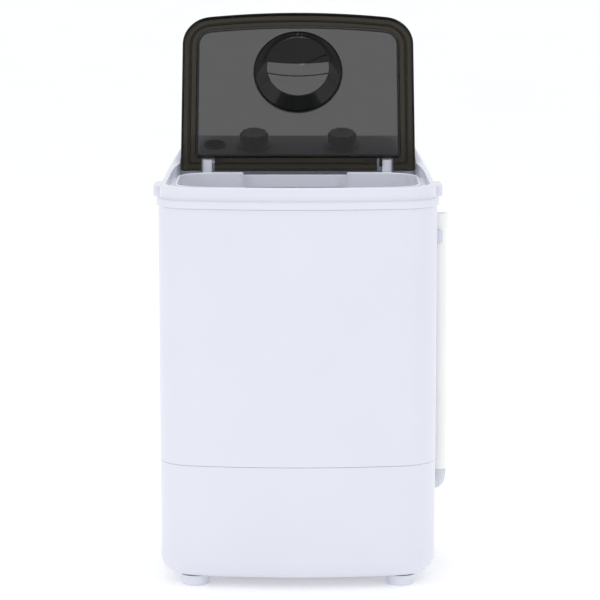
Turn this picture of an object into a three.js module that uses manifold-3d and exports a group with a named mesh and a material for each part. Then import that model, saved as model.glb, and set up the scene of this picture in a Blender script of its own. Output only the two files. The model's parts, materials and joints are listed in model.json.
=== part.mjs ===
// A portable single-tub, top load washing machine with its lid leaning open.
// Millimetres, +X right, -Y towards the user, +Z up, floor at z = 0.
import * as THREE from "three";
import { mergeVertices } from "three/addons/utils/BufferGeometryUtils.js";
import Module from "manifold-3d";

const wasm = await Module();
wasm.setup();

// ---------- driving dimensions ----------

const GAP = 0.3; // between pieces that touch
const WALL = 3; // moulded casing thickness

const BASE_Z = 15; // underside of the base casing
const SEAM_Z = 179; // joint between the base and upper casings
const FRAME_Z = 545; // underside of the top frame's bead
const BEAD_TOP_Z = 556;
const DECK_Z = 565; // gutter around the mouth
const RIM_Z = 575; // collar top and mouth lip
const RECESS_LIP_Z = 570; // the lip where the mouth steps back
const NECK_Z = 551; // lower edge of the mouth's neck
const BASE_FILLET = 25;

const BODY = { w: 197.5, front: -189, rear: 180, rf: 60, rr: 60, bow: 790 };
const TUB = { w: 181, front: -168, rear: 103, rf: 60, rr: 60, bow: 769 };
const GUTTER = { w: 186, front: -177.5, rear: 103, rf: 48.5, rr: 60, bow: 778.5 };
const LID_BAY = { w: 175, rear: 98.5, corner: 4 }; // square rear corners of the gutter, for the shut lid
const MOUTH = { w: 171, front: -158, lobe: 44, recess: 64, rf: 45, rr: 48, bow: 759 };
const LIP_DROP = 1.8; // the mouth's lip slopes down by this towards the front
const RECESS_LEFT = -79;
const RECESS_RIGHT = 71;

const CONSOLE_FRONT = { y: 103, z: 597 };
const CONSOLE_BACK = { y: 165, z: 619 };
const SHOULDER_LEAN = 0.66; // inward travel of the console's ends per unit of height
const PANEL = { w: 146, d: 31, thick: 3, front: 6, rear: 25 };
const KNOB_X = 66;
const INLET_X = -125;

const PIVOT = { y: 80, z: 587 };
const LID = { w: 173.5, front: -240, rear: 17, rf: 45, rr: 3, bow: 1270 };
const LID_UNDER = -11; // lid underside below the pivot when the lid is shut
const LID_TOP = -5;
const LID_BAND = 24; // width of the raised border
const LID_OPEN_DEG = 118;
const DISH = { y: -143, r: 65, floor: 48, depth: 20 };
const POST = { left: [-141.5, -127.5], right: [125, 139], front: 76.6, rear: 88.5, top: 590.5 };
const PIN_R = 2;

const AXIS_Y = -32; // pulsator shaft
const MOTOR_Y = 100;
const BELT_Z = 100;
const BELT = { inner: 66.5, thick: 6, motorInner: 16.5, height: 6 };
const TUB_FLOOR_Z = 200;

const HOSE_R = 10;
const HOSE_Y = 40;
const HOSE_TOP = { x: 209.1, z: 515 };
const ELBOW = { x: 209, z: 112, tilt: 2, reach: 20, r: 11 };

// ---------- materials ----------

function finish(color, roughness, metalness = 0, opacity = 1) {
  return { color, roughness, metalness, opacity, transparent: opacity < 1 };
}

const WHITE = finish(0xe9ebf3, 0.25);
const SHADE_WHITE = finish(0xd4d8e0, 0.35);
const PANEL_GREY = finish(0xb9bcc2, 0.3);
const SMOKE = finish(0x2e2b24, 0.08, 0, 0.6);
const KNOB_GREY = finish(0x85878a, 0.25, 0.2);
const TUB_WHITE = finish(0xdfe3e6, 0.4);
const STEEL = finish(0xb4b6b8, 0.3, 1);
const IRON = finish(0x4a4c50, 0.6, 0.8);
const ALUMINIUM = finish(0xa9adb0, 0.4, 1);
const BLACK_PLASTIC = finish(0x1d1d1f, 0.5);
const RUBBER = finish(0x232323, 0.8);
const HOSE_WHITE = finish(0xeceae6, 0.45);
const MESH_BLUE = finish(0x8fb2d6, 0.8);

// ---------- solids ----------

const X = new THREE.Vector3(1, 0, 0);
const Y = new THREE.Vector3(0, 1, 0);
const Z = new THREE.Vector3(0, 0, 1);
const ARC = 3; // curve segments; an arc gets twice as many steps

function solid(geometry) {
  const plain = geometry.clone();
  plain.deleteAttribute("normal");
  plain.deleteAttribute("uv");
  const merged = mergeVertices(plain, 1e-4);
  const mesh = new wasm.Mesh({
    numProp: 3,
    vertProperties: new Float32Array(merged.attributes.position.array),
    triVerts: new Uint32Array(merged.index.array),
  });
  return new wasm.Manifold(mesh);
}

function geometryOf(manifold) {
  const { vertProperties, triVerts } = manifold.getMesh();
  const geometry = new THREE.BufferGeometry();
  geometry.setAttribute("position", new THREE.BufferAttribute(vertProperties, 3));
  geometry.setIndex(new THREE.BufferAttribute(triVerts, 1));
  geometry.computeVertexNormals();
  return geometry;
}

const join = (first, ...rest) => rest.reduce((sum, next) => sum.add(next), first);
const cut = (first, ...rest) => rest.reduce((sum, next) => sum.subtract(next), first);
const common = (first, ...rest) => rest.reduce((sum, next) => sum.intersect(next), first);

// The shape as a polygon, without the doubled points where two arcs meet.
function faceted(shape, curveSegments = ARC) {
  const points = shape.getPoints(curveSegments);
  return new THREE.Shape(points.filter((p, i) => p.distanceTo(points[(i + 1) % points.length]) > 0.01));
}

function extruded(shape, depth, curveSegments) {
  return new THREE.ExtrudeGeometry(faceted(shape, curveSegments), { depth, bevelEnabled: false });
}

// A prism along Z of a shape drawn in (x, y).
function prismZ(shape, z0, z1, curveSegments) {
  return solid(extruded(shape, z1 - z0, curveSegments).translate(0, 0, z0));
}

// A prism along X of a shape drawn in (y, z).
function prismX(shape, x0, x1, curveSegments) {
  const turn = new THREE.Matrix4().makeBasis(Y, Z, X);
  return solid(extruded(shape, x1 - x0, curveSegments).applyMatrix4(turn).translate(x0, 0, 0));
}

// A prism along Y of a shape drawn in (x, z).
function prismY(shape, y0, y1, curveSegments) {
  const turn = new THREE.Matrix4().makeBasis(X, Z, Y.clone().negate());
  return solid(extruded(shape, y1 - y0, curveSegments).applyMatrix4(turn).translate(0, y1, 0));
}

function box(x0, x1, y0, y1, z0, z1) {
  const geometry = new THREE.BoxGeometry(x1 - x0, y1 - y0, z1 - z0);
  return solid(geometry.translate((x0 + x1) / 2, (y0 + y1) / 2, (z0 + z1) / 2));
}

// A cylinder along Z.
function rod(x, y, r, z0, z1, sides = 20) {
  const geometry = new THREE.CylinderGeometry(r, r, z1 - z0, sides).rotateX(Math.PI / 2);
  return solid(geometry.translate(x, y, (z0 + z1) / 2));
}

// A cylinder along X.
function barX(y, z, r, x0, x1, sides = 16) {
  const geometry = new THREE.CylinderGeometry(r, r, x1 - x0, sides).rotateZ(-Math.PI / 2);
  return solid(geometry.translate((x0 + x1) / 2, y, z));
}

// A cylinder along Y.
function barY(x, z, r, y0, y1, sides = 16) {
  const geometry = new THREE.CylinderGeometry(r, r, y1 - y0, sides);
  return solid(geometry.translate(x, (y0 + y1) / 2, z));
}

// A body of revolution about Z; profile is a list of [radius, z].
function turned(profile, x = 0, y = 0, sides = 24) {
  const points = profile.map(([r, z]) => new THREE.Vector2(r, z));
  return solid(new THREE.LatheGeometry(points, sides).rotateX(Math.PI / 2).translate(x, y, 0));
}

// A ring of revolution: the profile closes on itself.
function turnedRing(profile, x, y, sides) {
  return turned([...profile, profile[0]], x, y, sides);
}

function polygon(points) {
  return new THREE.Shape(points.map(([a, b]) => new THREE.Vector2(a, b)));
}

function circle(r) {
  return new THREE.Shape().absarc(0, 0, r, 0, 2 * Math.PI);
}

function roundedRect(x0, x1, y0, y1, frontR, rearR) {
  const shape = new THREE.Shape();
  shape.absarc(x1 - frontR, y0 + frontR, frontR, 1.5 * Math.PI, 2 * Math.PI);
  shape.absarc(x1 - rearR, y1 - rearR, rearR, 0, 0.5 * Math.PI);
  shape.absarc(x0 + rearR, y1 - rearR, rearR, 0.5 * Math.PI, Math.PI);
  shape.absarc(x0 + frontR, y0 + frontR, frontR, Math.PI, 1.5 * Math.PI);
  return faceted(shape, 2);
}

// A tube along a smooth path; inner is the bore radius, or 0 for a solid one.
function tube(points, outer, inner, steps, sides = 8) {
  const section = circle(outer);
  if (inner > 0) section.holes.push(new THREE.Path().absarc(0, 0, inner, 0, 2 * Math.PI, true));
  const path = new THREE.CatmullRomCurve3(points.map((p) => new THREE.Vector3(...p)));
  const options = { extrudePath: path, steps, curveSegments: sides / 2 };
  return solid(new THREE.ExtrudeGeometry(section, options));
}

// ---------- outlines ----------

function inset(outline, d) {
  return {
    w: outline.w - d,
    front: outline.front + d,
    rear: outline.rear - d,
    rf: outline.rf - d,
    rr: outline.rr - d,
    bow: outline.bow - d,
  };
}

// The front corner's centre and the angle where it meets the bowed front.
function frontCorner({ w, front, rf, bow }) {
  const reach = w - rf;
  const y = front + bow - Math.sqrt((bow - rf) ** 2 - reach ** 2);
  return { x: reach, y, lean: Math.asin(reach / (bow - rf)) };
}

// Adds the bowed front with its two corners, from the left side to the right side.
function addBowedFront(shape, outline) {
  const { x, y, lean } = frontCorner(outline);
  const down = 1.5 * Math.PI;
  shape.absarc(-x, y, outline.rf, Math.PI, down - lean);
  shape.absarc(0, outline.front + outline.bow, outline.bow, down - lean, down + lean);
  shape.absarc(x, y, outline.rf, down + lean, 2 * Math.PI);
}

// Straight sides and rear, round corners and a bowed front.
function plan(outline) {
  const { w, rear, rr } = outline;
  const shape = new THREE.Shape();
  shape.absarc(w - rr, rear - rr, rr, 0, 0.5 * Math.PI);
  shape.absarc(-w + rr, rear - rr, rr, 0.5 * Math.PI, Math.PI);
  addBowedFront(shape, outline);
  return shape;
}

// The mouth: two rear lobes with a recess between them; grow moves the outline outwards.
function mouth(grow) {
  const { w, lobe, recess, rr } = MOUTH;
  const nose = 12; // round nose between each lobe and the recess
  const corner = 8; // the recess's rear corners
  const back = recess + grow;
  const noseR = nose - Math.min(grow, nose - 1);
  const shape = new THREE.Shape();
  shape.absarc(w - rr, lobe - rr, rr + grow, 0, 0.5 * Math.PI);
  const front = lobe + grow;
  shape.absarc(RECESS_RIGHT + nose, front + noseR, noseR, 1.5 * Math.PI, Math.PI, true);
  shape.absarc(RECESS_RIGHT + grow - corner, back - corner, corner, 0, 0.5 * Math.PI);
  shape.absarc(RECESS_LEFT - grow + corner, back - corner, corner, 0.5 * Math.PI, Math.PI);
  shape.absarc(RECESS_LEFT - nose, front + noseR, noseR, 0, -0.5 * Math.PI, true);
  shape.absarc(-w + rr, lobe - rr, rr + grow, 0.5 * Math.PI, Math.PI);
  addBowedFront(shape, inset({ ...MOUTH, rear: 0 }, -grow));
  return shape;
}

// An open-topped shell's volume with a rounded lower edge, from z0 up to z1.
function bowl(outline, z0, z1, radius, segments) {
  const geometry = new THREE.ExtrudeGeometry(faceted(plan(outline)), {
    depth: z1 - z0,
    bevelThickness: radius,
    bevelSize: radius,
    bevelOffset: -radius,
    bevelSegments: segments,
  });
  const volume = solid(geometry.translate(0, 0, z0 + radius));
  return cut(volume, box(-300, 300, -300, 300, z1, z1 + 3 * radius));
}

// ---------- assembly ----------

const washer = new THREE.Group();

function add(name, manifold, look, parent = washer) {
  const mesh = new THREE.Mesh(geometryOf(manifold), new THREE.MeshStandardMaterial(look));
  mesh.name = name;
  parent.add(mesh);
  return mesh;
}

// ---------- casings ----------

const COVER = { w: 90, z0: 40, z1: 150 };
const COVER_SCREWS = [[-82, 48], [82, 48], [-82, 142], [82, 142]];
const GLAND = { x: -118, z: 60, r: 8 };
const FEET = [[-147, -135], [147, -135], [-147, 120], [147, 120]];
const BASE = inset(BODY, 0.5);
const BASE_REAR = BASE.rear;

function baseCasing() {
  const outer = bowl(BASE, BASE_Z, SEAM_Z - GAP / 2, BASE_FILLET, 4);
  const inner = bowl(inset(BASE, WALL), BASE_Z + WALL, SEAM_Z + 1, BASE_FILLET - WALL, 4);
  const serviceHole = prismZ(roundedRect(-95, 95, -85, 75, 12, 12), 0, 30);
  const rearHole = box(-COVER.w + 18, COVER.w - 18, 170, 190, COVER.z0 + 14, COVER.z1 - 14);
  const screwHoles = COVER_SCREWS.map(([x, z]) => barY(x, z, 2.3, 170, 190, 10));
  const glandHole = barY(GLAND.x, GLAND.z, GLAND.r + GAP, 170, 190);
  const drainHole = elbowVolume(0.5);
  return cut(outer, inner, serviceHole, rearHole, ...screwHoles, glandHole, drainHole);
}

function upperCasing() {
  const z0 = SEAM_Z + GAP / 2;
  const z1 = FRAME_Z - GAP;
  return cut(prismZ(plan(BODY), z0, z1), prismZ(plan(inset(BODY, WALL)), z0 - 1, z1 + 1));
}

function foot(x, y) {
  const r = 21;
  return turned([[0, 0], [r - 4, 0], [r - 1, 1.2], [r, 4], [r, BASE_Z - GAP], [0, BASE_Z - GAP]], x, y, 20);
}

function bottomCover() {
  const z1 = BASE_Z - GAP;
  const plate = prismZ(roundedRect(-105, 105, -95, 85, 14, 14), z1 - 2.5, z1);
  const slots = [];
  for (let x = -75; x <= 75; x += 25) {
    slots.push(box(x - 3, x + 3, -50, 40, 0, 30));
  }
  return cut(plate, ...slots);
}

function backCover() {
  const y0 = BASE_REAR + GAP;
  const outline = roundedRect(-COVER.w, COVER.w, COVER.z0, COVER.z1, 8, 8);
  const plate = prismY(outline, y0, y0 + 2.5);
  const holes = COVER_SCREWS.map(([x, z]) => barY(x, z, 2.3, 170, 190, 10));
  const vents = [];
  for (let z = 71; z <= 119; z += 12) {
    vents.push(box(-45, 45, 170, 190, z - 2.5, z + 2.5));
  }
  return cut(plate, ...holes, ...vents);
}

function coverScrew(x, z) {
  const head = BASE_REAR + GAP + 2.5 + GAP;
  const body = join(barY(x, z, 2, head - 12, head + 1, 8), barY(x, z, 4.5, head, head + 2.6, 12));
  return cut(body, box(x - 3, x + 3, head + 1.4, head + 5, z - 0.5, z + 0.5));
}

// A rear bush for the mains lead, with a flat ring face at y = 192.
function cordGland() {
  const { x, z, r } = GLAND;
  const flangeY = BASE_REAR + GAP;
  const spigot = barY(x, z, r, BASE_REAR - 8, flangeY + 1);
  const flange = barY(x, z, 13, flangeY, 184, 24);
  const nose = barY(x, z, 9.5, 183, 192, 24);
  return cut(join(spigot, flange, nose), barY(x, z, 4, 160, 200, 12));
}

function buildCasings() {
  add("base_casing", baseCasing(), WHITE);
  add("upper_casing", upperCasing(), WHITE);
  FEET.forEach(([x, y], i) => add(`foot_${i + 1}`, foot(x, y), WHITE));
  add("bottom_cover", bottomCover(), BLACK_PLASTIC);
  add("back_cover", backCover(), SHADE_WHITE);
  COVER_SCREWS.forEach(([x, z], i) => add(`back_cover_screw_${i + 1}`, coverScrew(x, z), STEEL));
  add("cord_gland", cordGland(), BLACK_PLASTIC);
}

// ---------- top frame and console ----------

const PANEL_TILT = Math.atan2(CONSOLE_BACK.z - CONSOLE_FRONT.z, CONSOLE_BACK.y - CONSOLE_FRONT.y);
const PANEL_MID = {
  y: (CONSOLE_FRONT.y + CONSOLE_BACK.y) / 2,
  z: (CONSOLE_FRONT.z + CONSOLE_BACK.z) / 2,
};

// Moves a solid from the panel's own frame, with its face at z = 0, to the machine's frame.
function onPanel(manifold) {
  const place = new THREE.Matrix4().makeRotationX(PANEL_TILT);
  return solid(geometryOf(manifold).applyMatrix4(place).translate(0, PANEL_MID.y, PANEL_MID.z));
}

// Side view of the collar: level at the front, sweeping up to the sloping console.
function sideProfile() {
  const shape = new THREE.Shape();
  shape.moveTo(-200, 500);
  shape.lineTo(200, 500);
  shape.lineTo(200, 590);
  shape.lineTo(184, 598);
  shape.bezierCurveTo(180, 612, 176, 623, CONSOLE_BACK.y, CONSOLE_BACK.z);
  shape.lineTo(CONSOLE_FRONT.y, CONSOLE_FRONT.z);
  shape.bezierCurveTo(85, 588, 60, RIM_Z, 15, RIM_Z);
  shape.lineTo(-200, RIM_Z);
  return shape;
}

// Front view of the collar: upright below the rim, with the console's ends leaning in above it.
function frontProfile(d) {
  const w = BODY.w + 5 - d;
  const shoulder = BODY.w - 1.5 - d;
  const top = 626;
  const crown = shoulder - SHOULDER_LEAN * (top - RIM_Z);
  return polygon([
    [-w, 500], [w, 500], [w, 560], [shoulder, RIM_Z - 4], [crown, top],
    [-crown, top], [-shoulder, RIM_Z - 4], [-w, 560],
  ]);
}

const GRIP = { y0: -65, y1: -5, out: 208, lip: 550.5, top: 567.5, thick: 3.7 };

// A hooked ledge on the side of the collar, open underneath for the fingers.
function grip(side) {
  const { y0, y1, out, lip, top, thick } = GRIP;
  const hook = polygon([
    [BODY.w - 3, top - thick], [out - thick, top - thick], [out - thick, lip],
    [out, lip], [out, top - 4], [out - 4, top], [BODY.w - 3, top],
  ].map(([x, z]) => [side * x, z]));
  const ends = [y0, y1 - thick].map((y) => {
    const x = [side * (BODY.w - 3), side * (out - 1)].sort((a, b) => a - b);
    return box(x[0], x[1], y, y + thick, BEAD_TOP_Z + 0.5, top - 1);
  });
  return join(prismY(hook, y0, y1), ...ends);
}

// The bead gives way to the fingers between the grip's end walls.
function fingerSpace(side) {
  const { y0, y1, out, thick } = GRIP;
  const x = [side * (BODY.w - 1.5), side * (out - thick)].sort((a, b) => a - b);
  return box(x[0], x[1], y0 + thick, y1 - thick, 540, BEAD_TOP_Z + 1);
}

function hingePost([x0, x1]) {
  const { front, rear, top } = POST;
  const post = prismX(roundedRect(front, rear, DECK_Z - 1, top, 1, 2), x0, x1);
  return cut(post, barX(PIVOT.y, PIVOT.z, PIN_R + GAP, x0 - 1, x1 + 1, 12));
}

function topFrame() {
  const band = prismZ(plan(inset(BODY, 1.5)), BEAD_TOP_Z, 640);
  const bead = prismZ(plan(inset(BODY, -3)), FRAME_Z, BEAD_TOP_Z);
  let frame = common(join(band, bead), prismX(sideProfile(), -230, 230, 6), prismY(frontProfile(0), -230, 230));

  // Hollow below the deck and inside the console.
  frame = cut(frame, prismZ(plan(inset(BODY, 4)), 500, DECK_Z - WALL));
  const slope = Math.tan(PANEL_TILT);
  const roof = (y) => CONSOLE_FRONT.z + slope * (y - CONSOLE_FRONT.y) - 8;
  const hollow = polygon([[106.5, 540], [176, 540], [176, 600], [166, roof(166)], [106.5, roof(106.5)]]);
  const inside = prismZ(plan(inset(BODY, 5)), 500, 640);
  frame = cut(frame, common(prismX(hollow, -186, 186), prismY(frontProfile(4), -200, 200), inside));

  // Gutter, neck and hinge posts, then the mouth through them all.
  const bay = roundedRect(-LID_BAY.w, LID_BAY.w, -40, LID_BAY.rear, 1, LID_BAY.corner);
  frame = cut(frame, prismZ(plan(GUTTER), DECK_Z, 640), prismZ(bay, DECK_Z, 640));
  const front = MOUTH.front - 10;
  const above = polygon([[front, RIM_Z - LIP_DROP], [MOUTH.lobe, RIM_Z], [MOUTH.lobe, 580], [front, 580]]);
  const neck = cut(prismZ(mouth(3.5), NECK_Z, RIM_Z), prismX(above, -200, 200));
  frame = join(frame, neck, hingePost(POST.left), hingePost(POST.right));
  frame = join(cut(frame, fingerSpace(-1), fingerSpace(1)), grip(-1), grip(1));
  frame = cut(frame, prismZ(mouth(0), 500, 640));
  frame = cut(frame, box(RECESS_LEFT - 6, RECESS_RIGHT + 6, 50, 72, RECESS_LIP_Z, RIM_Z + 1));

  // Seat and opening for the control panel.
  const { w, d, thick, front: frontR, rear } = PANEL;
  const seat = prismZ(roundedRect(-w - GAP, w + GAP, -d - GAP, d + GAP, frontR, rear), -thick - GAP, 40);
  const opening = prismZ(roundedRect(-w + 6, w - 6, -d + 8, d - 6, 4, 15), -30, 0);
  return cut(frame, onPanel(seat), onPanel(opening));
}

function controlPanel() {
  const { w, d, thick, front, rear } = PANEL;
  const plate = prismZ(roundedRect(-w, w, -d, d, front, rear), -thick, 0);
  const holes = [rod(-KNOB_X, 0, 4, -10, 10), rod(KNOB_X, 0, 4, -10, 10), rod(INLET_X, 0, 14, -10, 10)];
  return onPanel(cut(plate, ...holes));
}

// A skirt with a fluted grip on it, a raised pointer and a blind bore for the shaft.
function knob() {
  const flutes = 10;
  const steps = 40;
  const points = [];
  for (let i = 0; i < steps; i += 1) {
    const angle = (2 * Math.PI * i) / steps;
    const r = 18.4 + 1.3 * Math.cos(flutes * angle);
    points.push([r * Math.cos(angle), r * Math.sin(angle)]);
  }
  const fluted = solid(new THREE.ExtrudeGeometry(polygon(points), {
    depth: 15, bevelThickness: 1.5, bevelSize: 1.5, bevelSegments: 1,
  }).translate(0, 0, 4));
  const skirt = turned([[0, 0.6], [27, 0.6], [27, 2], [22, 4.5], [0, 4.5]], 0, 0, 24);
  const pointer = box(-1.2, 1.2, 4, 17, 19, 21.5);
  return cut(join(fluted, skirt, pointer), rod(0, 0, 3.3, -1, 14.3, 12));
}

function knobShaft() {
  return cut(rod(0, 0, 3, -14, 14, 12), box(1.8, 4, -4, 4, 4, 15));
}

function timerBody() {
  return cut(rod(0, 0, 19, -27, -PANEL.thick - GAP, 24), rod(0, 0, 3.3, -14.3, 0, 12));
}

function modeSwitchBody() {
  return cut(box(-15, 15, -15, 15, -22, -PANEL.thick - GAP), rod(0, 0, 3.3, -14.3, 0, 12));
}

function waterInletPort() {
  const tubeProfile = [[11.5, -14], [13.5, -14], [13.5, GAP]];
  return turnedRing([...tubeProfile, [16.5, GAP], [16.5, 1.4], [15.5, 2.2], [12.5, 2.2], [11.5, 1.2]]);
}

// Carries fill water from the port over to the tub's rear wall.
function waterInletDuct() {
  const top = onPanel(rod(INLET_X, 0, 1, -16, -14.4, 8)).boundingBox();
  const y = (top.min[1] + top.max[1]) / 2;
  const upper = [[INLET_X, y, top.min[2] - 1], [INLET_X, y - 4, 575], [INLET_X, 130, 556]];
  const lower = [[INLET_X, 120, 543], [INLET_X, 110, 538], [INLET_X, 101, 538]];
  return tube([...upper, ...lower], 9, 7, 9);
}

function buildConsole() {
  add("top_frame", topFrame(), WHITE);
  add("control_panel", controlPanel(), PANEL_GREY);
  const panelGroup = new THREE.Group();
  panelGroup.position.set(0, PANEL_MID.y, PANEL_MID.z);
  panelGroup.rotation.x = PANEL_TILT;
  washer.add(panelGroup);
  const place = (mesh, x) => mesh.position.setX(x);
  place(add("timer_knob", knob(), KNOB_GREY, panelGroup), KNOB_X);
  place(add("timer_shaft", knobShaft(), STEEL, panelGroup), KNOB_X);
  place(add("timer_body", timerBody(), BLACK_PLASTIC, panelGroup), KNOB_X);
  place(add("mode_knob", knob(), KNOB_GREY, panelGroup), -KNOB_X);
  place(add("mode_shaft", knobShaft(), STEEL, panelGroup), -KNOB_X);
  place(add("mode_switch_body", modeSwitchBody(), BLACK_PLASTIC, panelGroup), -KNOB_X);
  place(add("water_inlet_port", waterInletPort(), BLACK_PLASTIC, panelGroup), INLET_X);
  add("water_inlet_duct", waterInletDuct(), RUBBER);
}

// ---------- lid ----------

const KNUCKLES = [[-123.5, -113], [95, 117], [120.8, 124.4]];
const NOTCHES = [[-143, -123.5], [117, 140.7]]; // these let the hinge posts through
const NOTCH_Y = -3.9;

function lid() {
  const within = (d) => plan(inset({ ...LID, rr: d + 5 }, d));
  const centre = prismZ(within(LID_BAND), LID_UNDER + 2.5, 10);
  const groove = cut(
    prismZ(within(2.5), -20, LID_TOP - 2.5),
    prismZ(within(LID_BAND - 2.5), -20, 10),
  );
  const notches = NOTCHES.map(([x0, x1]) => box(x0, x1, NOTCH_Y, 40, -20, 20));
  let body = cut(prismZ(plan(LID), LID_UNDER, LID_TOP), centre, groove, ...notches);
  const ear = new THREE.Shape();
  ear.moveTo(6.5, LID_TOP - 3);
  ear.absarc(0, 0, 6.5, 0, Math.PI);
  ear.lineTo(-6.5, LID_TOP - 3);
  const bore = barX(0, 0, PIN_R + GAP, -200, 200, 12);
  const ears = KNUCKLES.map(([x0, x1]) => prismX(ear, x0, x1));
  body = cut(join(body, ...ears), bore);
  return cut(body, rod(0, DISH.y, DISH.r + 0.8, -20, 10, 36));
}

// A round dish sunk into the lid, its front half covered by a lip to pull on.
function lidHandle() {
  const { y, r, floor, depth } = DISH;
  const top = LID_UNDER + 2.5 + GAP;
  const low = LID_UNDER - depth + 2.5;
  const dish = turned([
    [0, low], [floor, low], [r - 0.5, LID_UNDER], [r - 0.5, top], [r + 4, top], [r + 4, top + 1.5],
    [r - 3, top + 1.5], [floor - 1, low + 2.5], [0, low + 2.5],
  ], 0, y, 36);
  const chord = -15; // front half-moon
  const reach = Math.sqrt((r - 2) ** 2 - chord ** 2);
  const moon = new THREE.Shape();
  moon.absarc(0, 0, r - 2, Math.atan2(chord, -reach), Math.atan2(chord, reach));
  moon.quadraticCurveTo(0, chord + 5, -reach, chord);
  return join(dish, prismZ(moon, top, top + 1.5, 5).translate([0, y, 0]));
}

function buildLid() {
  const hinge = new THREE.Group();
  hinge.position.set(0, PIVOT.y, PIVOT.z);
  hinge.rotation.x = THREE.MathUtils.degToRad(-LID_OPEN_DEG);
  washer.add(hinge);
  add("lid", lid(), SMOKE, hinge);
  add("lid_handle", lidHandle(), SMOKE, hinge);
  add("hinge_pin_left", barX(PIVOT.y, PIVOT.z, PIN_R, POST.left[0], -115, 12), SHADE_WHITE);
  add("hinge_pin_right", barX(PIVOT.y, PIVOT.z, PIN_R, 110, POST.right[1], 12), SHADE_WHITE);
}

// ---------- tub, pulsator and filter ----------

const DRAIN = { x: 110, y: 20 };
const SHAFT_R = 7;
const BEARING_R = 17.5;

function washTub() {
  const top = DECK_Z - WALL - GAP;
  const outer = bowl(TUB, TUB_FLOOR_Z - WALL, top, 20, 3);
  const inner = bowl(inset(TUB, WALL), TUB_FLOOR_Z, top + 1, 17, 3);
  const shaftHole = rod(0, AXIS_Y, BEARING_R + GAP, 150, 250);
  const drainHole = rod(DRAIN.x, DRAIN.y, 9, 150, 250);
  const inletHole = barY(INLET_X, 538, 10.4, 85, 110, 24);
  return cut(outer, inner, shaftHole, drainHole, inletHole);
}

// A shallow ribbed disc that stirs the wash.
function pulsator() {
  const z = TUB_FLOOR_Z + 7;
  let disc = turned([[0, z], [110, z], [114, z + 3], [110, z + 6], [60, z + 9], [20, z + 14], [0, z + 14]], 0, 0, 28);
  for (let i = 0; i < 4; i += 1) {
    const vane = polygon([[16, z + 2], [106, z + 2], [106, z + 8], [92, z + 17], [34, z + 21], [16, z + 20]]);
    disc = join(disc, prismY(vane, -6, 6).rotate([0, 0, 90 * i + 45]));
  }
  const hub = rod(0, 0, 24, z + 5, z + 16, 20);
  const bores = [rod(0, 0, SHAFT_R + GAP, 150, z + 5, 20), rod(0, 0, 3.3, 150, 260, 12)];
  return cut(join(disc, hub), ...bores).translate([0, AXIS_Y, 0]);
}

function pulsatorScrew() {
  const seat = TUB_FLOOR_Z + 7 + 16 + GAP;
  const body = join(rod(0, AXIS_Y, 3, seat - 22, seat + 1, 12), rod(0, AXIS_Y, 8, seat, seat + 4, 16));
  return cut(body, box(-6, 6, AXIS_Y - 0.8, AXIS_Y + 0.8, seat + 2.5, seat + 6));
}

function filterFrame() {
  const rear = TUB.rear - WALL - GAP - 0.2;
  const outer = prismY(roundedRect(-45, 45, 380, 480, 8, 8), rear - 7, rear);
  const window_ = prismY(roundedRect(-37, 37, 388, 466, 5, 5), rear - 10, rear + 5);
  return cut(outer, window_);
}

function filterBag() {
  const front = TUB.rear - WALL - 7 - 3 * GAP;
  return prismY(roundedRect(-36, 36, 384, 468, 14, 6), front - 12, front);
}

function buildTub() {
  add("wash_tub", washTub(), TUB_WHITE);
  add("pulsator", pulsator(), SHADE_WHITE);
  add("pulsator_screw", pulsatorScrew(), STEEL);
  add("lint_filter_frame", filterFrame(), SHADE_WHITE);
  add("lint_filter_bag", filterBag(), MESH_BLUE);
}

// ---------- drive ----------

const SHAFT_TOP = TUB_FLOOR_Z + 11.5;
const SHAFT_LOW = 82;
const GROOVE_HALF = 5.8;

function ring(inner, outer, z0, z1, y = AXIS_Y, sides = 20) {
  return turnedRing([[inner, z0], [outer, z0], [outer, z1], [inner, z1]], 0, y, sides);
}

function pulsatorShaft() {
  const shaft = rod(0, AXIS_Y, SHAFT_R, SHAFT_LOW, SHAFT_TOP, 20);
  return cut(shaft, rod(0, AXIS_Y, 3.3, SHAFT_TOP - 16, SHAFT_TOP + 1, 12));
}

function bearingHousing() {
  const bore = BEARING_R + GAP;
  const top = TUB_FLOOR_Z - WALL - GAP;
  return turnedRing([[bore, 118], [26, 118], [26, 188], [55, 191], [55, top], [bore, top]], 0, AXIS_Y, 24);
}

// Closed profile of a pulley rim whose groove holds the belt.
function grooveProfile(hub, rim, root) {
  const face = GROOVE_HALF + 2.2;
  return [
    [hub, BELT_Z - face], [rim, BELT_Z - face], [rim, BELT_Z - GROOVE_HALF], [root, BELT_Z - 3.8],
    [root, BELT_Z + 3.8], [rim, BELT_Z + GROOVE_HALF], [rim, BELT_Z + face], [hub, BELT_Z + face],
  ];
}

function largePulley() {
  const rim = turnedRing(grooveProfile(61, 73, BELT.inner - 0.9), 0, AXIS_Y, 28);
  const web = ring(SHAFT_R + GAP, 62, BELT_Z - 2, BELT_Z + 2, AXIS_Y, 28);
  const hub = ring(SHAFT_R + GAP, 16, BELT_Z - 9, BELT_Z + 9);
  const windows = [];
  for (let i = 0; i < 4; i += 1) {
    const angle = (Math.PI * i) / 2;
    windows.push(rod(39 * Math.cos(angle), AXIS_Y + 39 * Math.sin(angle), 14, 80, 120, 8));
  }
  return join(cut(join(web, hub), ...windows), rim);
}

function pulleyNut() {
  return cut(rod(0, AXIS_Y, 12, 84, BELT_Z - 9 - GAP, 6), rod(0, AXIS_Y, SHAFT_R + GAP, 80, 100, 20));
}

function motorPulley() {
  return turnedRing(grooveProfile(6 + GAP, 23, BELT.motorInner - 0.8), 0, MOTOR_Y, 20);
}

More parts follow.
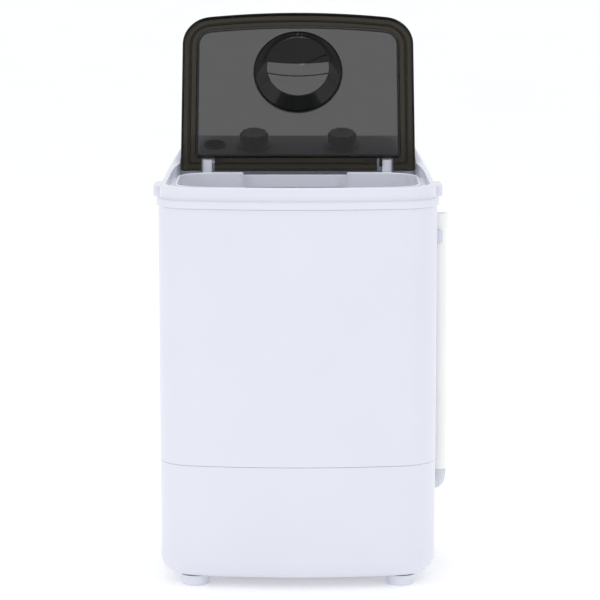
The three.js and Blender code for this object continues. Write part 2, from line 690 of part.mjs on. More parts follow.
// The belt's outline around both pulleys, with its straight runs tangent to each.
function beltOutline(large, small) {
  const lift = Math.asin((large - small) / (MOTOR_Y - AXIS_Y));
  const shape = new THREE.Shape();
  shape.absarc(0, AXIS_Y, large, Math.PI - lift, 2 * Math.PI + lift);
  shape.absarc(0, MOTOR_Y, small, lift, Math.PI - lift);
  return shape;
}

function driveBelt() {
  const { inner, thick, motorInner, height } = BELT;
  const z0 = BELT_Z - height / 2;
  const z1 = BELT_Z + height / 2;
  const outside = prismZ(beltOutline(inner + thick, motorInner + thick), z0, z1, 9);
  return cut(outside, prismZ(beltOutline(inner, motorInner), z0 - 1, z1 + 1, 9));
}

function motorBody() {
  const z1 = 185.7;
  const can = [[0, 120], [20, 120], [20, 126], [50, 128], [55, 133], [55, z1 - 5], [50, z1], [0, z1]];
  return cut(turned(can, 0, MOTOR_Y), rod(0, MOTOR_Y, 6 + GAP, 100, 150, 16));
}

function motorBracket() {
  const top = TUB_FLOOR_Z - WALL - GAP;
  const plate = prismZ(roundedRect(-75, 75, 30, 170, 10, 10), 186, 189);
  const legs = [[-66, 39], [66, 39], [-66, 92], [66, 92]].map(([x, y]) => rod(x, y, 6, 188, top, 8));
  return cut(join(plate, ...legs), rod(0, MOTOR_Y, 22, 180, 195));
}

function capacitor() {
  return join(barX(112, 38.3, 20, -142, -78, 24), barX(112, 38.3, 8, -78.5, -70, 12));
}

function buildDrive() {
  add("pulsator_shaft", pulsatorShaft(), STEEL);
  add("shaft_seal", ring(SHAFT_R + GAP, BEARING_R, 191, TUB_FLOOR_Z + 4), RUBBER);
  add("bearing_housing", bearingHousing(), ALUMINIUM);
  add("upper_bearing", ring(SHAFT_R + GAP, BEARING_R, 176, 190), STEEL);
  add("lower_bearing", ring(SHAFT_R + GAP, BEARING_R, 120, 134), STEEL);
  add("large_pulley", largePulley(), ALUMINIUM);
  add("pulley_nut", pulleyNut(), STEEL);
  add("drive_belt", driveBelt(), RUBBER);
  add("motor_body", motorBody(), IRON);
  add("motor_shaft", rod(0, MOTOR_Y, 6, 88, 149, 16), STEEL);
  add("motor_pulley", motorPulley(), ALUMINIUM);
  add("motor_bracket", motorBracket(), STEEL);
  add("motor_capacitor", capacitor(), SHADE_WHITE);
}

// ---------- drain and wiring ----------

// The hose's centre line, from the elbow's socket up the right side to its cuff.
const HOSE_ROUTE = [
  [209.7, HOSE_Y, 132.3],
  [210, HOSE_Y, 141],
  [210.3, HOSE_Y, 160],
  [210.6, HOSE_Y, 210],
  [210.3, HOSE_Y, 300],
  [209.6, HOSE_Y, 400],
  [HOSE_TOP.x, HOSE_Y, 470],
  [HOSE_TOP.x, HOSE_Y, HOSE_TOP.z],
];

// The elbow's leaning socket, as a rod of the given radius and reach.
function elbowSocket(radius, reach) {
  const { x, z, tilt } = ELBOW;
  return rod(0, 0, radius, 0, reach, 16).rotate([0, tilt, 0]).translate([x, HOSE_Y, z]);
}

// A spigot through the casing wall, a round bend and the socket that the hose leaves from.
function elbowVolume(grow) {
  const { x, z, reach, r } = ELBOW;
  const spigot = barX(HOSE_Y, z, 10 + grow, 181, x);
  const bend = new THREE.SphereGeometry(r + grow, 16, 8).rotateX(Math.PI / 2);
  return join(spigot, solid(bend.translate(x, HOSE_Y, z)), elbowSocket(r + grow, reach + grow));
}

function drainElbow() {
  const bore = 7.5;
  return cut(elbowVolume(0), barX(HOSE_Y, ELBOW.z, bore, 170, ELBOW.x), elbowSocket(bore, ELBOW.reach + 5));
}

function drainPipe() {
  const low = TUB_FLOOR_Z - WALL - GAP;
  const upper = [[DRAIN.x, DRAIN.y, low], [DRAIN.x, DRAIN.y, low - 25], [118, 26, 140]];
  const lower = [[138, 36, 118], [164, HOSE_Y, ELBOW.z], [173, HOSE_Y, ELBOW.z], [180.6, HOSE_Y, ELBOW.z]];
  return tube([...upper, ...lower], 12, 9, 11);
}

function hoseClip() {
  const wall = BODY.w + GAP;
  const { x, z } = HOSE_TOP;
  const [z0, z1] = [z - 42, z - 24];
  const bore = HOSE_R + 0.6;
  const arms = rod(x, HOSE_Y, bore + 2.6, z0, z1, 24);
  const plate = box(wall, wall + 2.5, HOSE_Y - 20, HOSE_Y + 20, z0, z1);
  const clip = join(arms, plate);
  const mouthCut = box(x + 4, x + 40, HOSE_Y - 40, HOSE_Y + 40, z0 - 1, z1 + 1);
  return cut(clip, rod(x, HOSE_Y, bore, z0 - 1, z1 + 1, 24), mouthCut, box(150, wall, 0, 80, z0 - 1, z1 + 1));
}

function hoseCuff() {
  const { x, z } = HOSE_TOP;
  const bore = HOSE_R + 0.3;
  const outline = [[bore, z - 19], [bore + 1, z - 19], [bore + 1, z], [bore + 0.8, z + 1], [bore, z + 1]];
  return turnedRing(outline, x, HOSE_Y, 20);
}

function wiringHarness() {
  const path = [[95, 140, 572], [105, 148, 530], [105, 150, 400], [105, 150, 210], [95, 140, 165], [60, 120, 150]];
  return tube(path, 4, 0, 14);
}

function buildDrain() {
  add("drain_pipe", drainPipe(), RUBBER);
  add("drain_elbow", drainElbow(), SHADE_WHITE);
  add("drain_hose", tube(HOSE_ROUTE, HOSE_R, 0, 14, 10), HOSE_WHITE);
  add("hose_clip", hoseClip(), WHITE);
  add("hose_cuff", hoseCuff(), HOSE_WHITE);
  add("wiring_harness", wiringHarness(), BLACK_PLASTIC);
}

buildCasings();
buildConsole();
buildLid();
buildTub();
buildDrive();
buildDrain();

export default washer;
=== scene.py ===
"""A portable top load washing machine with its tinted lid open: the looks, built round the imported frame."""
import json
import math
from collections import namedtuple

import bmesh
import bpy
import numpy as np
from mathutils import Matrix, Vector
from mathutils.geometry import tessellate_polygon


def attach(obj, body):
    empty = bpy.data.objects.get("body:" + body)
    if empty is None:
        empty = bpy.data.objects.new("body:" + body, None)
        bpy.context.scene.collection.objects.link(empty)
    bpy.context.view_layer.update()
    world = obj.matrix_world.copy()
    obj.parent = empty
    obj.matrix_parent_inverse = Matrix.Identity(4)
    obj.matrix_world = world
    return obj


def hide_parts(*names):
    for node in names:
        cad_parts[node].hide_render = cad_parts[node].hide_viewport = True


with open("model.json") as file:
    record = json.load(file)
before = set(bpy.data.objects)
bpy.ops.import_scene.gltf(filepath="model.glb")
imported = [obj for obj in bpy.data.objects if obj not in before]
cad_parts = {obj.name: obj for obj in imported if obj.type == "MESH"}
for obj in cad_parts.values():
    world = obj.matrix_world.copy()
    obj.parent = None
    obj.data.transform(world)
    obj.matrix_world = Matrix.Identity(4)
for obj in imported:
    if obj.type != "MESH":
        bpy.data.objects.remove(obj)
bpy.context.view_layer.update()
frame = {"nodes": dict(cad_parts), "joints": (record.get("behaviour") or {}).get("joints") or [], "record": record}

MM = 0.001  # shapes are worked out in millimetres and become meshes in metres
GAP = 0.3
WALL = 3.0
IDENTITY = Matrix.Identity(4)
JOINTS = {joint["name"]: joint for joint in frame["joints"]}


# ---------- camera, light and floor ----------

def make_camera():
    data = bpy.data.cameras.new("camera")
    data.sensor_width = 36
    data.lens = 169.3
    camera = bpy.data.objects.new("camera", data)
    camera.location = (0.003, -4.097, 0.974)
    camera.rotation_euler = (math.radians(81.91), 0, 0)
    bpy.context.scene.collection.objects.link(camera)
    bpy.context.scene.camera = camera


def softbox(name, location, target, size, power):
    data = bpy.data.lights.new(name, "AREA")
    data.shape = "RECTANGLE"
    data.size, data.size_y = size
    data.energy = power
    lamp = bpy.data.objects.new(name, data)
    lamp.location = location
    aim = Vector(target) - Vector(location)
    lamp.rotation_euler = aim.to_track_quat("-Z", "Y").to_euler()
    bpy.context.scene.collection.objects.link(lamp)


def make_studio():
    scene = bpy.context.scene
    scene.view_settings.view_transform = "Standard"
    world = bpy.data.worlds.new("studio")
    world.use_nodes = True
    sky = world.node_tree.nodes["Background"].inputs
    sky["Color"].default_value = (0.97, 0.98, 1.0, 1)
    sky["Strength"].default_value = 0.86
    scene.world = world
    body, lid = (0, 0, 0.45), (0, 0.15, 0.72)
    softbox("left_softbox", (-2.6, -2.4, 1.9), body, (0.6, 0.9), 10)
    softbox("right_softbox", (2.6, -2.4, 1.9), body, (0.6, 0.9), 6)
    softbox("top_softbox", (0, 0.6, 3.0), (0, 0, 0.5), (0.9, 0.5), 11)
    glint = 0.8  # watts of each small lamp that draws a dash on the lid's beads
    for i in (-1, 0, 1):
        softbox(f"rear_glint_{i + 2}", (0.13 * i, 0.3, 3.0), (0, 0.2, 0.75), (0.035, 0.12), glint)
        for side, name in ((-1, "left"), (1, "right")):
            place = (1.5 * side, -1.33, 2.9 + 0.2 * i)
            softbox(f"{name}_glint_{i + 2}", place, lid, (0.1, 0.035), glint)


def make_floor():
    radius, sides = 40.0, 96
    mesh = bpy.data.meshes.new("floor")
    turns = [2 * math.pi * i / sides for i in range(sides)]
    rim = [(radius * math.cos(a), radius * math.sin(a), 0) for a in turns]
    mesh.from_pydata(rim, [], [tuple(range(sides))])
    floor = bpy.data.objects.new("floor", mesh)
    bpy.context.scene.collection.objects.link(floor)
    floor.data.materials.append(floor_paint())


# ---------- materials ----------

def new_material(name):
    material = bpy.data.materials.new(name)
    material.use_nodes = True
    nodes = material.node_tree.nodes
    return material, nodes, material.node_tree.links, nodes["Principled BSDF"]


def noise(nodes, links, scale, detail=2.0):
    coordinates = nodes.new("ShaderNodeTexCoord")
    texture = nodes.new("ShaderNodeTexNoise")
    texture.inputs["Scale"].default_value = scale
    texture.inputs["Detail"].default_value = detail
    links.new(coordinates.outputs["Object"], texture.inputs["Vector"])
    return texture.outputs["Fac"]


def spread(nodes, links, source, low, high):
    """Stretches the middle of a noise to run from low to high."""
    ramp = nodes.new("ShaderNodeMapRange")
    ramp.inputs["From Min"].default_value = 0.3
    ramp.inputs["From Max"].default_value = 0.7
    ramp.inputs["To Min"].default_value = low
    ramp.inputs["To Max"].default_value = high
    links.new(source, ramp.inputs["Value"])
    return ramp.outputs["Result"]


def mixed(nodes, links, factor, first, second):
    mix = nodes.new("ShaderNodeMix")
    mix.data_type = "RGBA"
    mix.inputs[6].default_value = (*first, 1)
    mix.inputs[7].default_value = (*second, 1)
    links.new(factor, mix.inputs[0])
    return mix.outputs[2]


def bumped(nodes, links, height, strength, distance, shader):
    bump = nodes.new("ShaderNodeBump")
    bump.inputs["Strength"].default_value = strength
    bump.inputs["Distance"].default_value = distance
    links.new(height, bump.inputs["Height"])
    links.new(bump.outputs["Normal"], shader.inputs["Normal"])


def moulded(name, color, roughness, grain=900.0, grain_depth=0.00004, variation=0.03,
            metallic=0.0, coat=0.0):
    """Moulded or cast stock: a fine skin texture, slow changes of shade and of gloss."""
    material, nodes, links, shader = new_material(name)
    dark = tuple(c * (1 - variation) for c in color)
    light = tuple(min(1.0, c * (1 + variation / 2)) for c in color)
    shade = spread(nodes, links, noise(nodes, links, 9.0, 3), 0.0, 1.0)
    links.new(mixed(nodes, links, shade, dark, light), shader.inputs["Base Color"])
    swing = variation * 4
    low, high = roughness * (1 - swing), roughness * (1 + swing)
    gloss = spread(nodes, links, noise(nodes, links, 34.0, 4), low, high)
    links.new(gloss, shader.inputs["Roughness"])
    bumped(nodes, links, noise(nodes, links, grain, 2), 0.5, grain_depth, shader)
    shader.inputs["Metallic"].default_value = metallic
    shader.inputs["Coat Weight"].default_value = coat
    shader.inputs["Coat Roughness"].default_value = 0.08
    return material


def tinted(name, color, alpha, roughness=0.05):
    """Clear tinted lid plastic: one surface lets through 1 - alpha of the light."""
    material, nodes, links, shader = new_material(name)
    haze = spread(nodes, links, noise(nodes, links, 26.0, 4), roughness * 0.7, roughness * 1.5)
    links.new(haze, shader.inputs["Roughness"])
    shade = spread(nodes, links, noise(nodes, links, 12.0, 2), 0.0, 1.0)
    light = tuple(c * 1.15 for c in color)
    links.new(mixed(nodes, links, shade, color, light), shader.inputs["Base Color"])
    shader.inputs["Alpha"].default_value = alpha
    shader.inputs["IOR"].default_value = 1.49
    shader.inputs["Specular IOR Level"].default_value = 0.3
    bumped(nodes, links, noise(nodes, links, 60.0, 1), 0.15, 0.00004, shader)
    return material


def brushed(name, color, roughness, stretch=(400.0, 400.0, 12.0)):
    """Drawn or turned metal: fine lines along one direction."""
    material, nodes, links, shader = new_material(name)
    coordinates = nodes.new("ShaderNodeTexCoord")
    mapping = nodes.new("ShaderNodeMapping")
    mapping.inputs["Scale"].default_value = stretch
    texture = nodes.new("ShaderNodeTexNoise")
    texture.inputs["Scale"].default_value = 1.0
    links.new(coordinates.outputs["Object"], mapping.inputs["Vector"])
    links.new(mapping.outputs["Vector"], texture.inputs["Vector"])
    lines = spread(nodes, links, texture.outputs["Fac"], 0.0, 1.0)
    dark = tuple(c * 0.86 for c in color)
    links.new(mixed(nodes, links, lines, dark, color), shader.inputs["Base Color"])
    gloss = spread(nodes, links, texture.outputs["Fac"], roughness * 0.8, roughness * 1.25)
    links.new(gloss, shader.inputs["Roughness"])
    bumped(nodes, links, texture.outputs["Fac"], 0.3, 0.00003, shader)
    shader.inputs["Metallic"].default_value = 1.0
    return material


def netting(name, color, pitch=0.0011):
    """Knitted net: crossing waves make threads and pores."""
    material, nodes, links, shader = new_material(name)
    coordinates = nodes.new("ShaderNodeTexCoord")
    waves = []
    for direction in ("X", "Z"):
        wave = nodes.new("ShaderNodeTexWave")
        wave.bands_direction = direction
        wave.inputs["Scale"].default_value = 1 / (pitch * 20)
        wave.inputs["Distortion"].default_value = 0.4
        links.new(coordinates.outputs["Object"], wave.inputs["Vector"])
        waves.append(wave.outputs["Fac"])
    weave = nodes.new("ShaderNodeMath")
    weave.operation = "MAXIMUM"
    links.new(waves[0], weave.inputs[0])
    links.new(waves[1], weave.inputs[1])
    threads = spread(nodes, links, weave.outputs[0], 0.0, 1.0)
    pores = tuple(c * 0.35 for c in color)
    links.new(mixed(nodes, links, threads, pores, color), shader.inputs["Base Color"])
    bumped(nodes, links, weave.outputs[0], 0.8, 0.0003, shader)
    shader.inputs["Roughness"].default_value = 0.85
    shader.inputs["Sheen Weight"].default_value = 0.3
    return material


def floor_paint():
    """Pale seamless paper, lit from within a little so that it stays white."""
    material, nodes, links, shader = new_material("floor_paper")
    shade = spread(nodes, links, noise(nodes, links, 1.5, 2), 0.0, 1.0)
    paper = mixed(nodes, links, shade, (0.86, 0.86, 0.86), (0.88, 0.88, 0.88))
    links.new(paper, shader.inputs["Base Color"])
    shader.inputs["Roughness"].default_value = 0.9
    shader.inputs["Specular IOR Level"].default_value = 0.1
    shader.inputs["Emission Color"].default_value = (1, 1, 1, 1)
    shader.inputs["Emission Strength"].default_value = 0.26
    return material


LOOKS = {
    "white_plastic": moulded("white_plastic", (0.745, 0.755, 0.835), 0.26, 900, 0.00002, 0.012),
    "pale_plastic": moulded("pale_plastic", (0.68, 0.70, 0.74), 0.38),
    "panel_plastic": moulded("panel_plastic", (0.52, 0.53, 0.55), 0.34),
    "smoked_plastic": tinted("smoked_plastic", (0.010, 0.010, 0.010), 0.70),
    "smoked_band": tinted("smoked_band", (0.016, 0.012, 0.002), 0.87),
    "smoked_edge": tinted("smoked_edge", (0.004, 0.004, 0.003), 0.975, 0.1),
    "knob_plastic": moulded("knob_plastic", (0.26, 0.26, 0.27), 0.2, coat=0.3),
    "tub_plastic": moulded("tub_plastic", (0.76, 0.79, 0.83), 0.36),
    "steel": brushed("steel", (0.60, 0.61, 0.62), 0.3),
    "motor_iron": moulded("motor_iron", (0.09, 0.095, 0.10), 0.55, 500, 0.0002, 0.2, metallic=0.7),
    "aluminium": moulded("aluminium", (0.42, 0.43, 0.44), 0.42, 700, 0.0002, 0.1, metallic=1.0),
    "black_plastic": moulded("black_plastic", (0.016, 0.016, 0.018), 0.5, 1200, 0.0001, 0.15),
    "rubber": moulded("rubber", (0.022, 0.022, 0.022), 0.75, 800, 0.0001, 0.2),
    "hose_plastic": moulded("hose_plastic", (0.92, 0.93, 0.91), 0.42, 500, 0.00005, 0.02),
    "filter_mesh": netting("filter_mesh", (0.30, 0.48, 0.70)),
}


# ---------- meshes from rings ----------

def chain(*parts):
    """Joins runs of points, without the doubled point where one run starts on the last one's end."""
    joined = [parts[0]]
    for part in parts[1:]:
        touching = np.linalg.norm(part[0] - joined[-1][-1]) < 1e-6
        joined.append(part[1:] if touching else part)
    return np.vstack(joined)


def arc(x, y, r, start, end, steps):
    angles = np.linspace(start, end, steps + 1)
    return np.column_stack([x + r * np.cos(angles), y + r * np.sin(angles)])


def line(p, q, steps):
    return np.linspace(p, q, steps + 1)


def circle(r, x=0.0, y=0.0, steps=72):
    return arc(x, y, r, 0, 2 * math.pi, steps)[:-1]


def rounded_rect(x0, x1, y0, y1, front, rear=None, steps=8):
    """Outline as a function of its inset; front and rear are the corner radii."""
    rear = front if rear is None else rear

    def outline(d=0.0):
        f, r = front - d, rear - d
        return chain(
            arc(x1 - front, y0 + front, f, 1.5 * math.pi, 2 * math.pi, steps),
            arc(x1 - rear, y1 - rear, r, 0, 0.5 * math.pi, steps),
            arc(x0 + rear, y1 - rear, r, 0.5 * math.pi, math.pi, steps),
            arc(x0 + front, y0 + front, f, math.pi, 1.5 * math.pi, steps),
        )
    return outline


def rounded(corners, steps=5, closed=False):
    """A polyline of (a, b, radius) with each corner turned into an arc."""
    out = []
    count = len(corners)
    for i, (a, b, r) in enumerate(corners):
        here = np.array([a, b])
        if r <= 0 or (not closed and i in (0, count - 1)):
            out.append(here)
            continue
        before = np.array(corners[i - 1][:2]) - here
        after = np.array(corners[(i + 1) % count][:2]) - here
        before, after = before / np.linalg.norm(before), after / np.linalg.norm(after)
        half = math.acos(np.clip(before @ after, -1, 1)) / 2
        reach = r / math.tan(half)
        middle = here + (before + after) / np.linalg.norm(before + after) * (r / math.sin(half))
        start, end = here + before * reach - middle, here + after * reach - middle
        swing = math.atan2(start[0] * end[1] - start[1] * end[0], start @ end)
        for t in np.linspace(0, swing, steps + 1):
            c, s = math.cos(t), math.sin(t)
            out.append(middle + [c * start[0] - s * start[1], s * start[0] + c * start[1]])
    return out


def at(points, z):
    return np.column_stack([points, np.broadcast_to(z, len(points))])


class Shape:
    """Rings and flat faces in millimetres, which become one welded mesh."""

    def __init__(self):
        self.points, self.faces, self.looks = [], [], []

    def ring(self, points):
        start = len(self.points)
        self.points.extend(points)
        return range(start, start + len(points))

    def loft(self, rings, closed=False, look=0):
        rows = [self.ring(r) for r in rings]
        for a, b in zip(rows, rows[1:] + (rows[:1] if closed else [])):
            for i in range(len(a)):
                j = (i + 1) % len(a)
                self.faces.append((a[i], a[j], b[j], b[i]))
                self.looks.append(look)
        return self

    def capped(self, rings):
        return self.loft(rings).flat(rings[0]).flat(rings[-1])

    def flat(self, *loops):
        index = [k for loop in loops for k in self.ring(loop)]
        for face in tessellate_polygon([[Vector(p) for p in loop] for loop in loops]):
            self.faces.append(tuple(index[k] for k in face))
            self.looks.append(0)
        return self

    def make(self, name, looks, place=IDENTITY):
        mesh = bpy.data.meshes.new(name)
        mesh.from_pydata([place @ (Vector(p) * MM) for p in self.points], [], self.faces)
        mesh.polygons.foreach_set("material_index", self.looks)
        for look in looks:
            mesh.materials.append(LOOKS[look])
        shape = bmesh.new()
        shape.from_mesh(mesh)
        bmesh.ops.remove_doubles(shape, verts=shape.verts, dist=2e-6)
        bmesh.ops.dissolve_degenerate(shape, edges=shape.edges, dist=1e-6)
        bmesh.ops.recalc_face_normals(shape, faces=shape.faces)
        shape.to_mesh(mesh)
        shape.free()
        piece = bpy.data.objects.new(name, mesh)
        bpy.context.scene.collection.objects.link(piece)
        return piece


def combine(piece, tools, operation="DIFFERENCE"):
    """Cuts the tools out of the piece, or joins them to it, and removes them."""
    for tool in tools:
        step = piece.modifiers.new("combine", "BOOLEAN")
        step.solver = "EXACT"
        step.operation = operation
        step.object = tool
        bpy.context.view_layer.update()
        graph = bpy.context.evaluated_depsgraph_get()
        mesh = bpy.data.meshes.new_from_object(piece.evaluated_get(graph))
        piece.modifiers.clear()
        piece.data = mesh
        bpy.data.objects.remove(tool)
    return piece


def smooth(piece, angle=34.0):
    """Smooth shading with crisp edges, and normals that keep flat faces flat."""
    shape = bmesh.new()
    shape.from_mesh(piece.data)
    for face in shape.faces:
        face.smooth = True
    for edge in shape.edges:
        edge.smooth = edge.calc_face_angle(0) < math.radians(angle)
    shape.to_mesh(piece.data)
    shape.free()
    weight = piece.modifiers.new("even_normals", "WEIGHTED_NORMAL")
    weight.keep_sharp = True
    return piece


def settle(piece, body, slot, *nodes):
    """Shades a finished piece, ties it to its body and hides the CAD nodes it stands for; slot is not used."""
    smooth(piece)
    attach(piece, body)
    if nodes:
        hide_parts(*nodes)
    return piece


def add(shape, name, look, node, place=IDENTITY, holes=(), body="cabinet"):
    """Makes a piece of one look from a shape, cuts its holes and settles it."""
    settle(combine(shape.make(name, [look], place), holes), body, look, node)


def prism(outline, z0, z1, place=IDENTITY, look="white_plastic"):
    return Shape().capped([at(outline, z0), at(outline, z1)]).make("prism", [look], place)


def plate(outline, z0, z1, edge, holes=(), hole_edge=None):
    """A flat plate with rounded edges; outline and holes are functions of an inset."""
    hole_edge = edge if hole_edge is None else hole_edge
    profile = rounded([(edge + 1, z0, 0), (0, z0, edge), (0, z1, edge), (edge + 1, z1, 0)], 4)[1:-1]
    shape = Shape().loft([at(outline(d), z) for d, z in profile])
    rims = []
    for hole in holes:
        back = hole_edge + 1
        inner = rounded([(back, z0, 0), (0, z0, hole_edge), (0, z1, hole_edge), (back, z1, 0)], 3)
        shape.loft([at(hole(-d), z) for d, z in inner[1:-1]])
        rims.append(lambda z, hole=hole: at(hole(-hole_edge), z))
    for z in (z0, z1):
        shape.flat(at(outline(edge), z), *[rim(z) for rim in rims])
    return shape


def turned(profile, x=0.0, y=0.0, steps=72, closed=False):
    """A body of revolution about Z from (radius, z) pairs; an end off the axis is closed flat."""
    rings = [at(circle(max(r, 0.001), x, y, steps), z) for r, z in profile]
    return Shape().loft(rings, closed) if closed else Shape().capped(rings)


def sweep(path, radii, sides=32):
    """Rings of the given radii round a path of points, kept from twisting."""
    path = np.array(path, float)
    tangents = np.gradient(path, axis=0)
    tangents /= np.linalg.norm(tangents, axis=1)[:, None]
    normal = np.array([0.0, 1.0, 0.0])
    rings = []
    for point, tangent, r in zip(path, tangents, radii):
        normal = normal - tangent * (normal @ tangent)
        normal /= np.linalg.norm(normal)
        side = np.cross(tangent, normal)
        turns = np.linspace(0, 2 * math.pi, sides, endpoint=False)
        rings.append(point + r * (np.outer(np.cos(turns), normal) + np.outer(np.sin(turns), side)))
    return rings


# ---------- outlines ----------

Outline = namedtuple("Outline", "w front rear rf rr bow")
DOWN = 1.5 * math.pi

# Turned frames. REARWARD looks along -Y with its y up, RIGHTWARD along +X with its x down, CROSSWISE
# along +X with its x up, and SIDE_ON along +X with its x to the rear and its y up.
REARWARD = Matrix(((1, 0, 0, 0), (0, 0, -1, 0), (0, 1, 0, 0), (0, 0, 0, 1)))
RIGHTWARD = Matrix(((0, 0, 1, 0), (0, 1, 0, 0), (-1, 0, 0, 0), (0, 0, 0, 1)))
CROSSWISE = Matrix(((0, 0, 1, 0), (0, 1, 0, 0), (1, 0, 0, 0), (0, 0, 0, 1)))
SIDE_ON = Matrix(((0, 0, 1, 0), (1, 0, 0, 0), (0, 1, 0, 0), (0, 0, 0, 1)))


def local_box(node, place=IDENTITY):
    """Lowest and highest corner of a CAD node in its own turned frame, in millimetres."""
    into = place.inverted()
    points = np.array([into @ v.co for v in frame["nodes"][node].data.vertices]) / MM
    return points.min(0), points.max(0)


def middle_of(node, *axes):
    """The middle of a CAD node's box along the axes given by number."""
    low, high = local_box(node)
    return tuple((low[a] + high[a]) / 2 for a in axes)


def outline_of(node, rf, rr, bow, place=IDENTITY):
    low, high = local_box(node, place)
    return Outline(high[0], low[1], high[1], rf, rr, bow)


def bowed_front(o, d):
    """The front corner's centre, its radius and the lean where the bow begins."""
    rf, bow = o.rf - d, o.bow - d
    reach = o.w - o.rf
    y = o.front + o.bow - math.sqrt((o.bow - o.rf) ** 2 - reach ** 2)
    return reach, y, rf, bow, math.asin(reach / (o.bow - o.rf))


def plan(o, d=0.0, side_steps=30):
    """Closed outline moved inwards by d: a bowed front, round corners, straight sides and rear."""
    reach, y, rf, bow, lean = bowed_front(o, d)
    w, rear, rr = o.w - d, o.rear - d, o.rr - d
    right = chain(
        arc(0, o.front + o.bow, bow, DOWN, DOWN + lean, 16),
        arc(reach, y, rf, DOWN + lean, 2 * math.pi, 12),
        line((w, y), (w, rear - rr), side_steps),
        arc(w - rr, rear - rr, rr, 0, math.pi / 2, 28),
        line((w - rr, rear), (0, rear), 12),
    )
    left = right[-2:0:-1] * (-1, 1)
    return np.vstack([right, left])


BODY = outline_of("upper_casing", 60, 60, 790)
BASE = outline_of("base_casing", 59.5, 59.5, 789.5)
TUB = outline_of("wash_tub", 60, 60, 769)
GUTTER = Outline(186, -177.5, 103, 48.5, 60, 778.5)
MOUTH = Outline(171, -158, 44, 45, 48, 759)
RECESS = {"left": -79, "right": 71, "rear": 64, "nose": 12, "corner": 7.9}
BAY = {"w": 175.0, "rear": 98.5}  # how far the gutter's rear corners reach, for the shut lid


def mouth(grow=0.0):
    """The mouth with its two rear lobes and the recess between them; grow moves it outwards."""
    nose, corner = RECESS["nose"], RECESS["corner"]
    back, front = RECESS["rear"] + grow, MOUTH.rear + grow
    nose_r = nose - min(grow, nose - 1)
    left, right = RECESS["left"], RECESS["right"]
    x, y, rf, bow, lean = bowed_front(MOUTH, -grow)
    lobe_x, lobe_y, lobe_r = MOUTH.w - MOUTH.rr, MOUTH.rear - MOUTH.rr, MOUTH.rr + grow
    return chain(
        arc(lobe_x, lobe_y, lobe_r, 0, math.pi / 2, 20),
        arc(right + nose, front + nose_r, nose_r, DOWN, math.pi, 8),
        arc(right + grow - corner, back - corner, corner, 0, math.pi / 2, 8),
        arc(left - grow + corner, back - corner, corner, math.pi / 2, math.pi, 8),
        arc(left - nose, front + nose_r, nose_r, 0, -math.pi / 2, 8),
        arc(-lobe_x, lobe_y, lobe_r, math.pi / 2, math.pi, 20),
        arc(-x, y, rf, math.pi, DOWN - lean, 12),
        arc(0, MOUTH.front + MOUTH.bow, bow, DOWN - lean, DOWN + lean, 30),
        arc(x, y, rf, DOWN + lean, 2 * math.pi, 12),
    )


def gutter(d=0.0):
    """The gutter's outline; a superellipse carries its rear corners out to the lid's square ones."""
    points = plan(GUTTER, d)
    cx, cy = GUTTER.w - GUTTER.rr, GUTTER.rear - GUTTER.rr
    x, y = np.abs(points[:, 0]) - cx, points[:, 1] - cy
    corner = (x > 0) & (y > 0)
    r = np.hypot(x, y)[corner]
    cos, sin = x[corner] / r, y[corner] / r
    reach_x, reach_y = (BAY["w"] - cx - d) / cos, (BAY["rear"] - cy - d) / sin
    power = 24
    square = (reach_x ** -power + reach_y ** -power) ** (-1 / power)
    stretch = np.maximum(r, square) / r
    points[corner, 0] = np.sign(points[corner, 0]) * (cx + x[corner] * stretch)
    points[corner, 1] = cy + y[corner] * stretch
    return points


# ---------- casings ----------

BASE_LOW, BASE_HIGH = local_box("base_casing")
UPPER_LOW, UPPER_HIGH = local_box("upper_casing")
BASE_FILLET = 25.0
GLAND = middle_of("cord_gland", 0, 2)
GLAND_R = 8.0
COVER_SCREWS = [middle_of(f"back_cover_screw_{i}", 0, 2) for i in range(1, 5)]
SCREW_HOLE_R = 2.3
HOSE_R = 10.0
HOSE_Y = 40.0
ELBOW_Z = 112.0


def through_rear(outline):
    """A tool that cuts the base's rear wall along the outline."""
    return prism(outline, -BASE.rear - 10, -BASE.rear + 10, REARWARD)


def make_base():
    z0, z1 = BASE_LOW[2], BASE_HIGH[2]
    flat = BASE_FILLET + 4
    outer = rounded([(flat, z0, 0), (0, z0, BASE_FILLET), (0, z1, 0.9), (WALL, z1, 0.5),
                     (WALL, z0 + WALL, BASE_FILLET - WALL), (flat, z0 + WALL, 0)], 8)
    base = Shape().capped([at(plan(BASE, d), z) for d, z in outer])
    low, high = local_box("back_cover")
    holes = [
        prism(rounded_rect(-95, 95, -85, 75, 12)(), z0 - 10, z0 + 10),
        through_rear(rounded_rect(low[0] + 18, high[0] - 18, low[2] + 14, high[2] - 14, 4)()),
        through_rear(circle(GLAND_R + GAP, *GLAND)),
        prism(circle(HOSE_R + 0.6, -ELBOW_Z, HOSE_Y), BASE.w - 10, BASE.w + 10, RIGHTWARD),
    ]
    holes += [through_rear(circle(SCREW_HOLE_R, x, z, 24)) for x, z in COVER_SCREWS]
    add(base, "base_shell", "white_plastic", "base_casing", holes=holes)


def make_upper_casing():
    z0, z1 = UPPER_LOW[2], UPPER_HIGH[2]
    profile = rounded([(0, z0, 0.9), (0, z1, 0.6), (WALL, z1, 0.6), (WALL, z0, 0.6)], 4, closed=True)
    casing = Shape().loft([at(plan(BODY, d), z) for d, z in profile], closed=True)
    add(casing, "upper_shell", "white_plastic", "upper_casing")


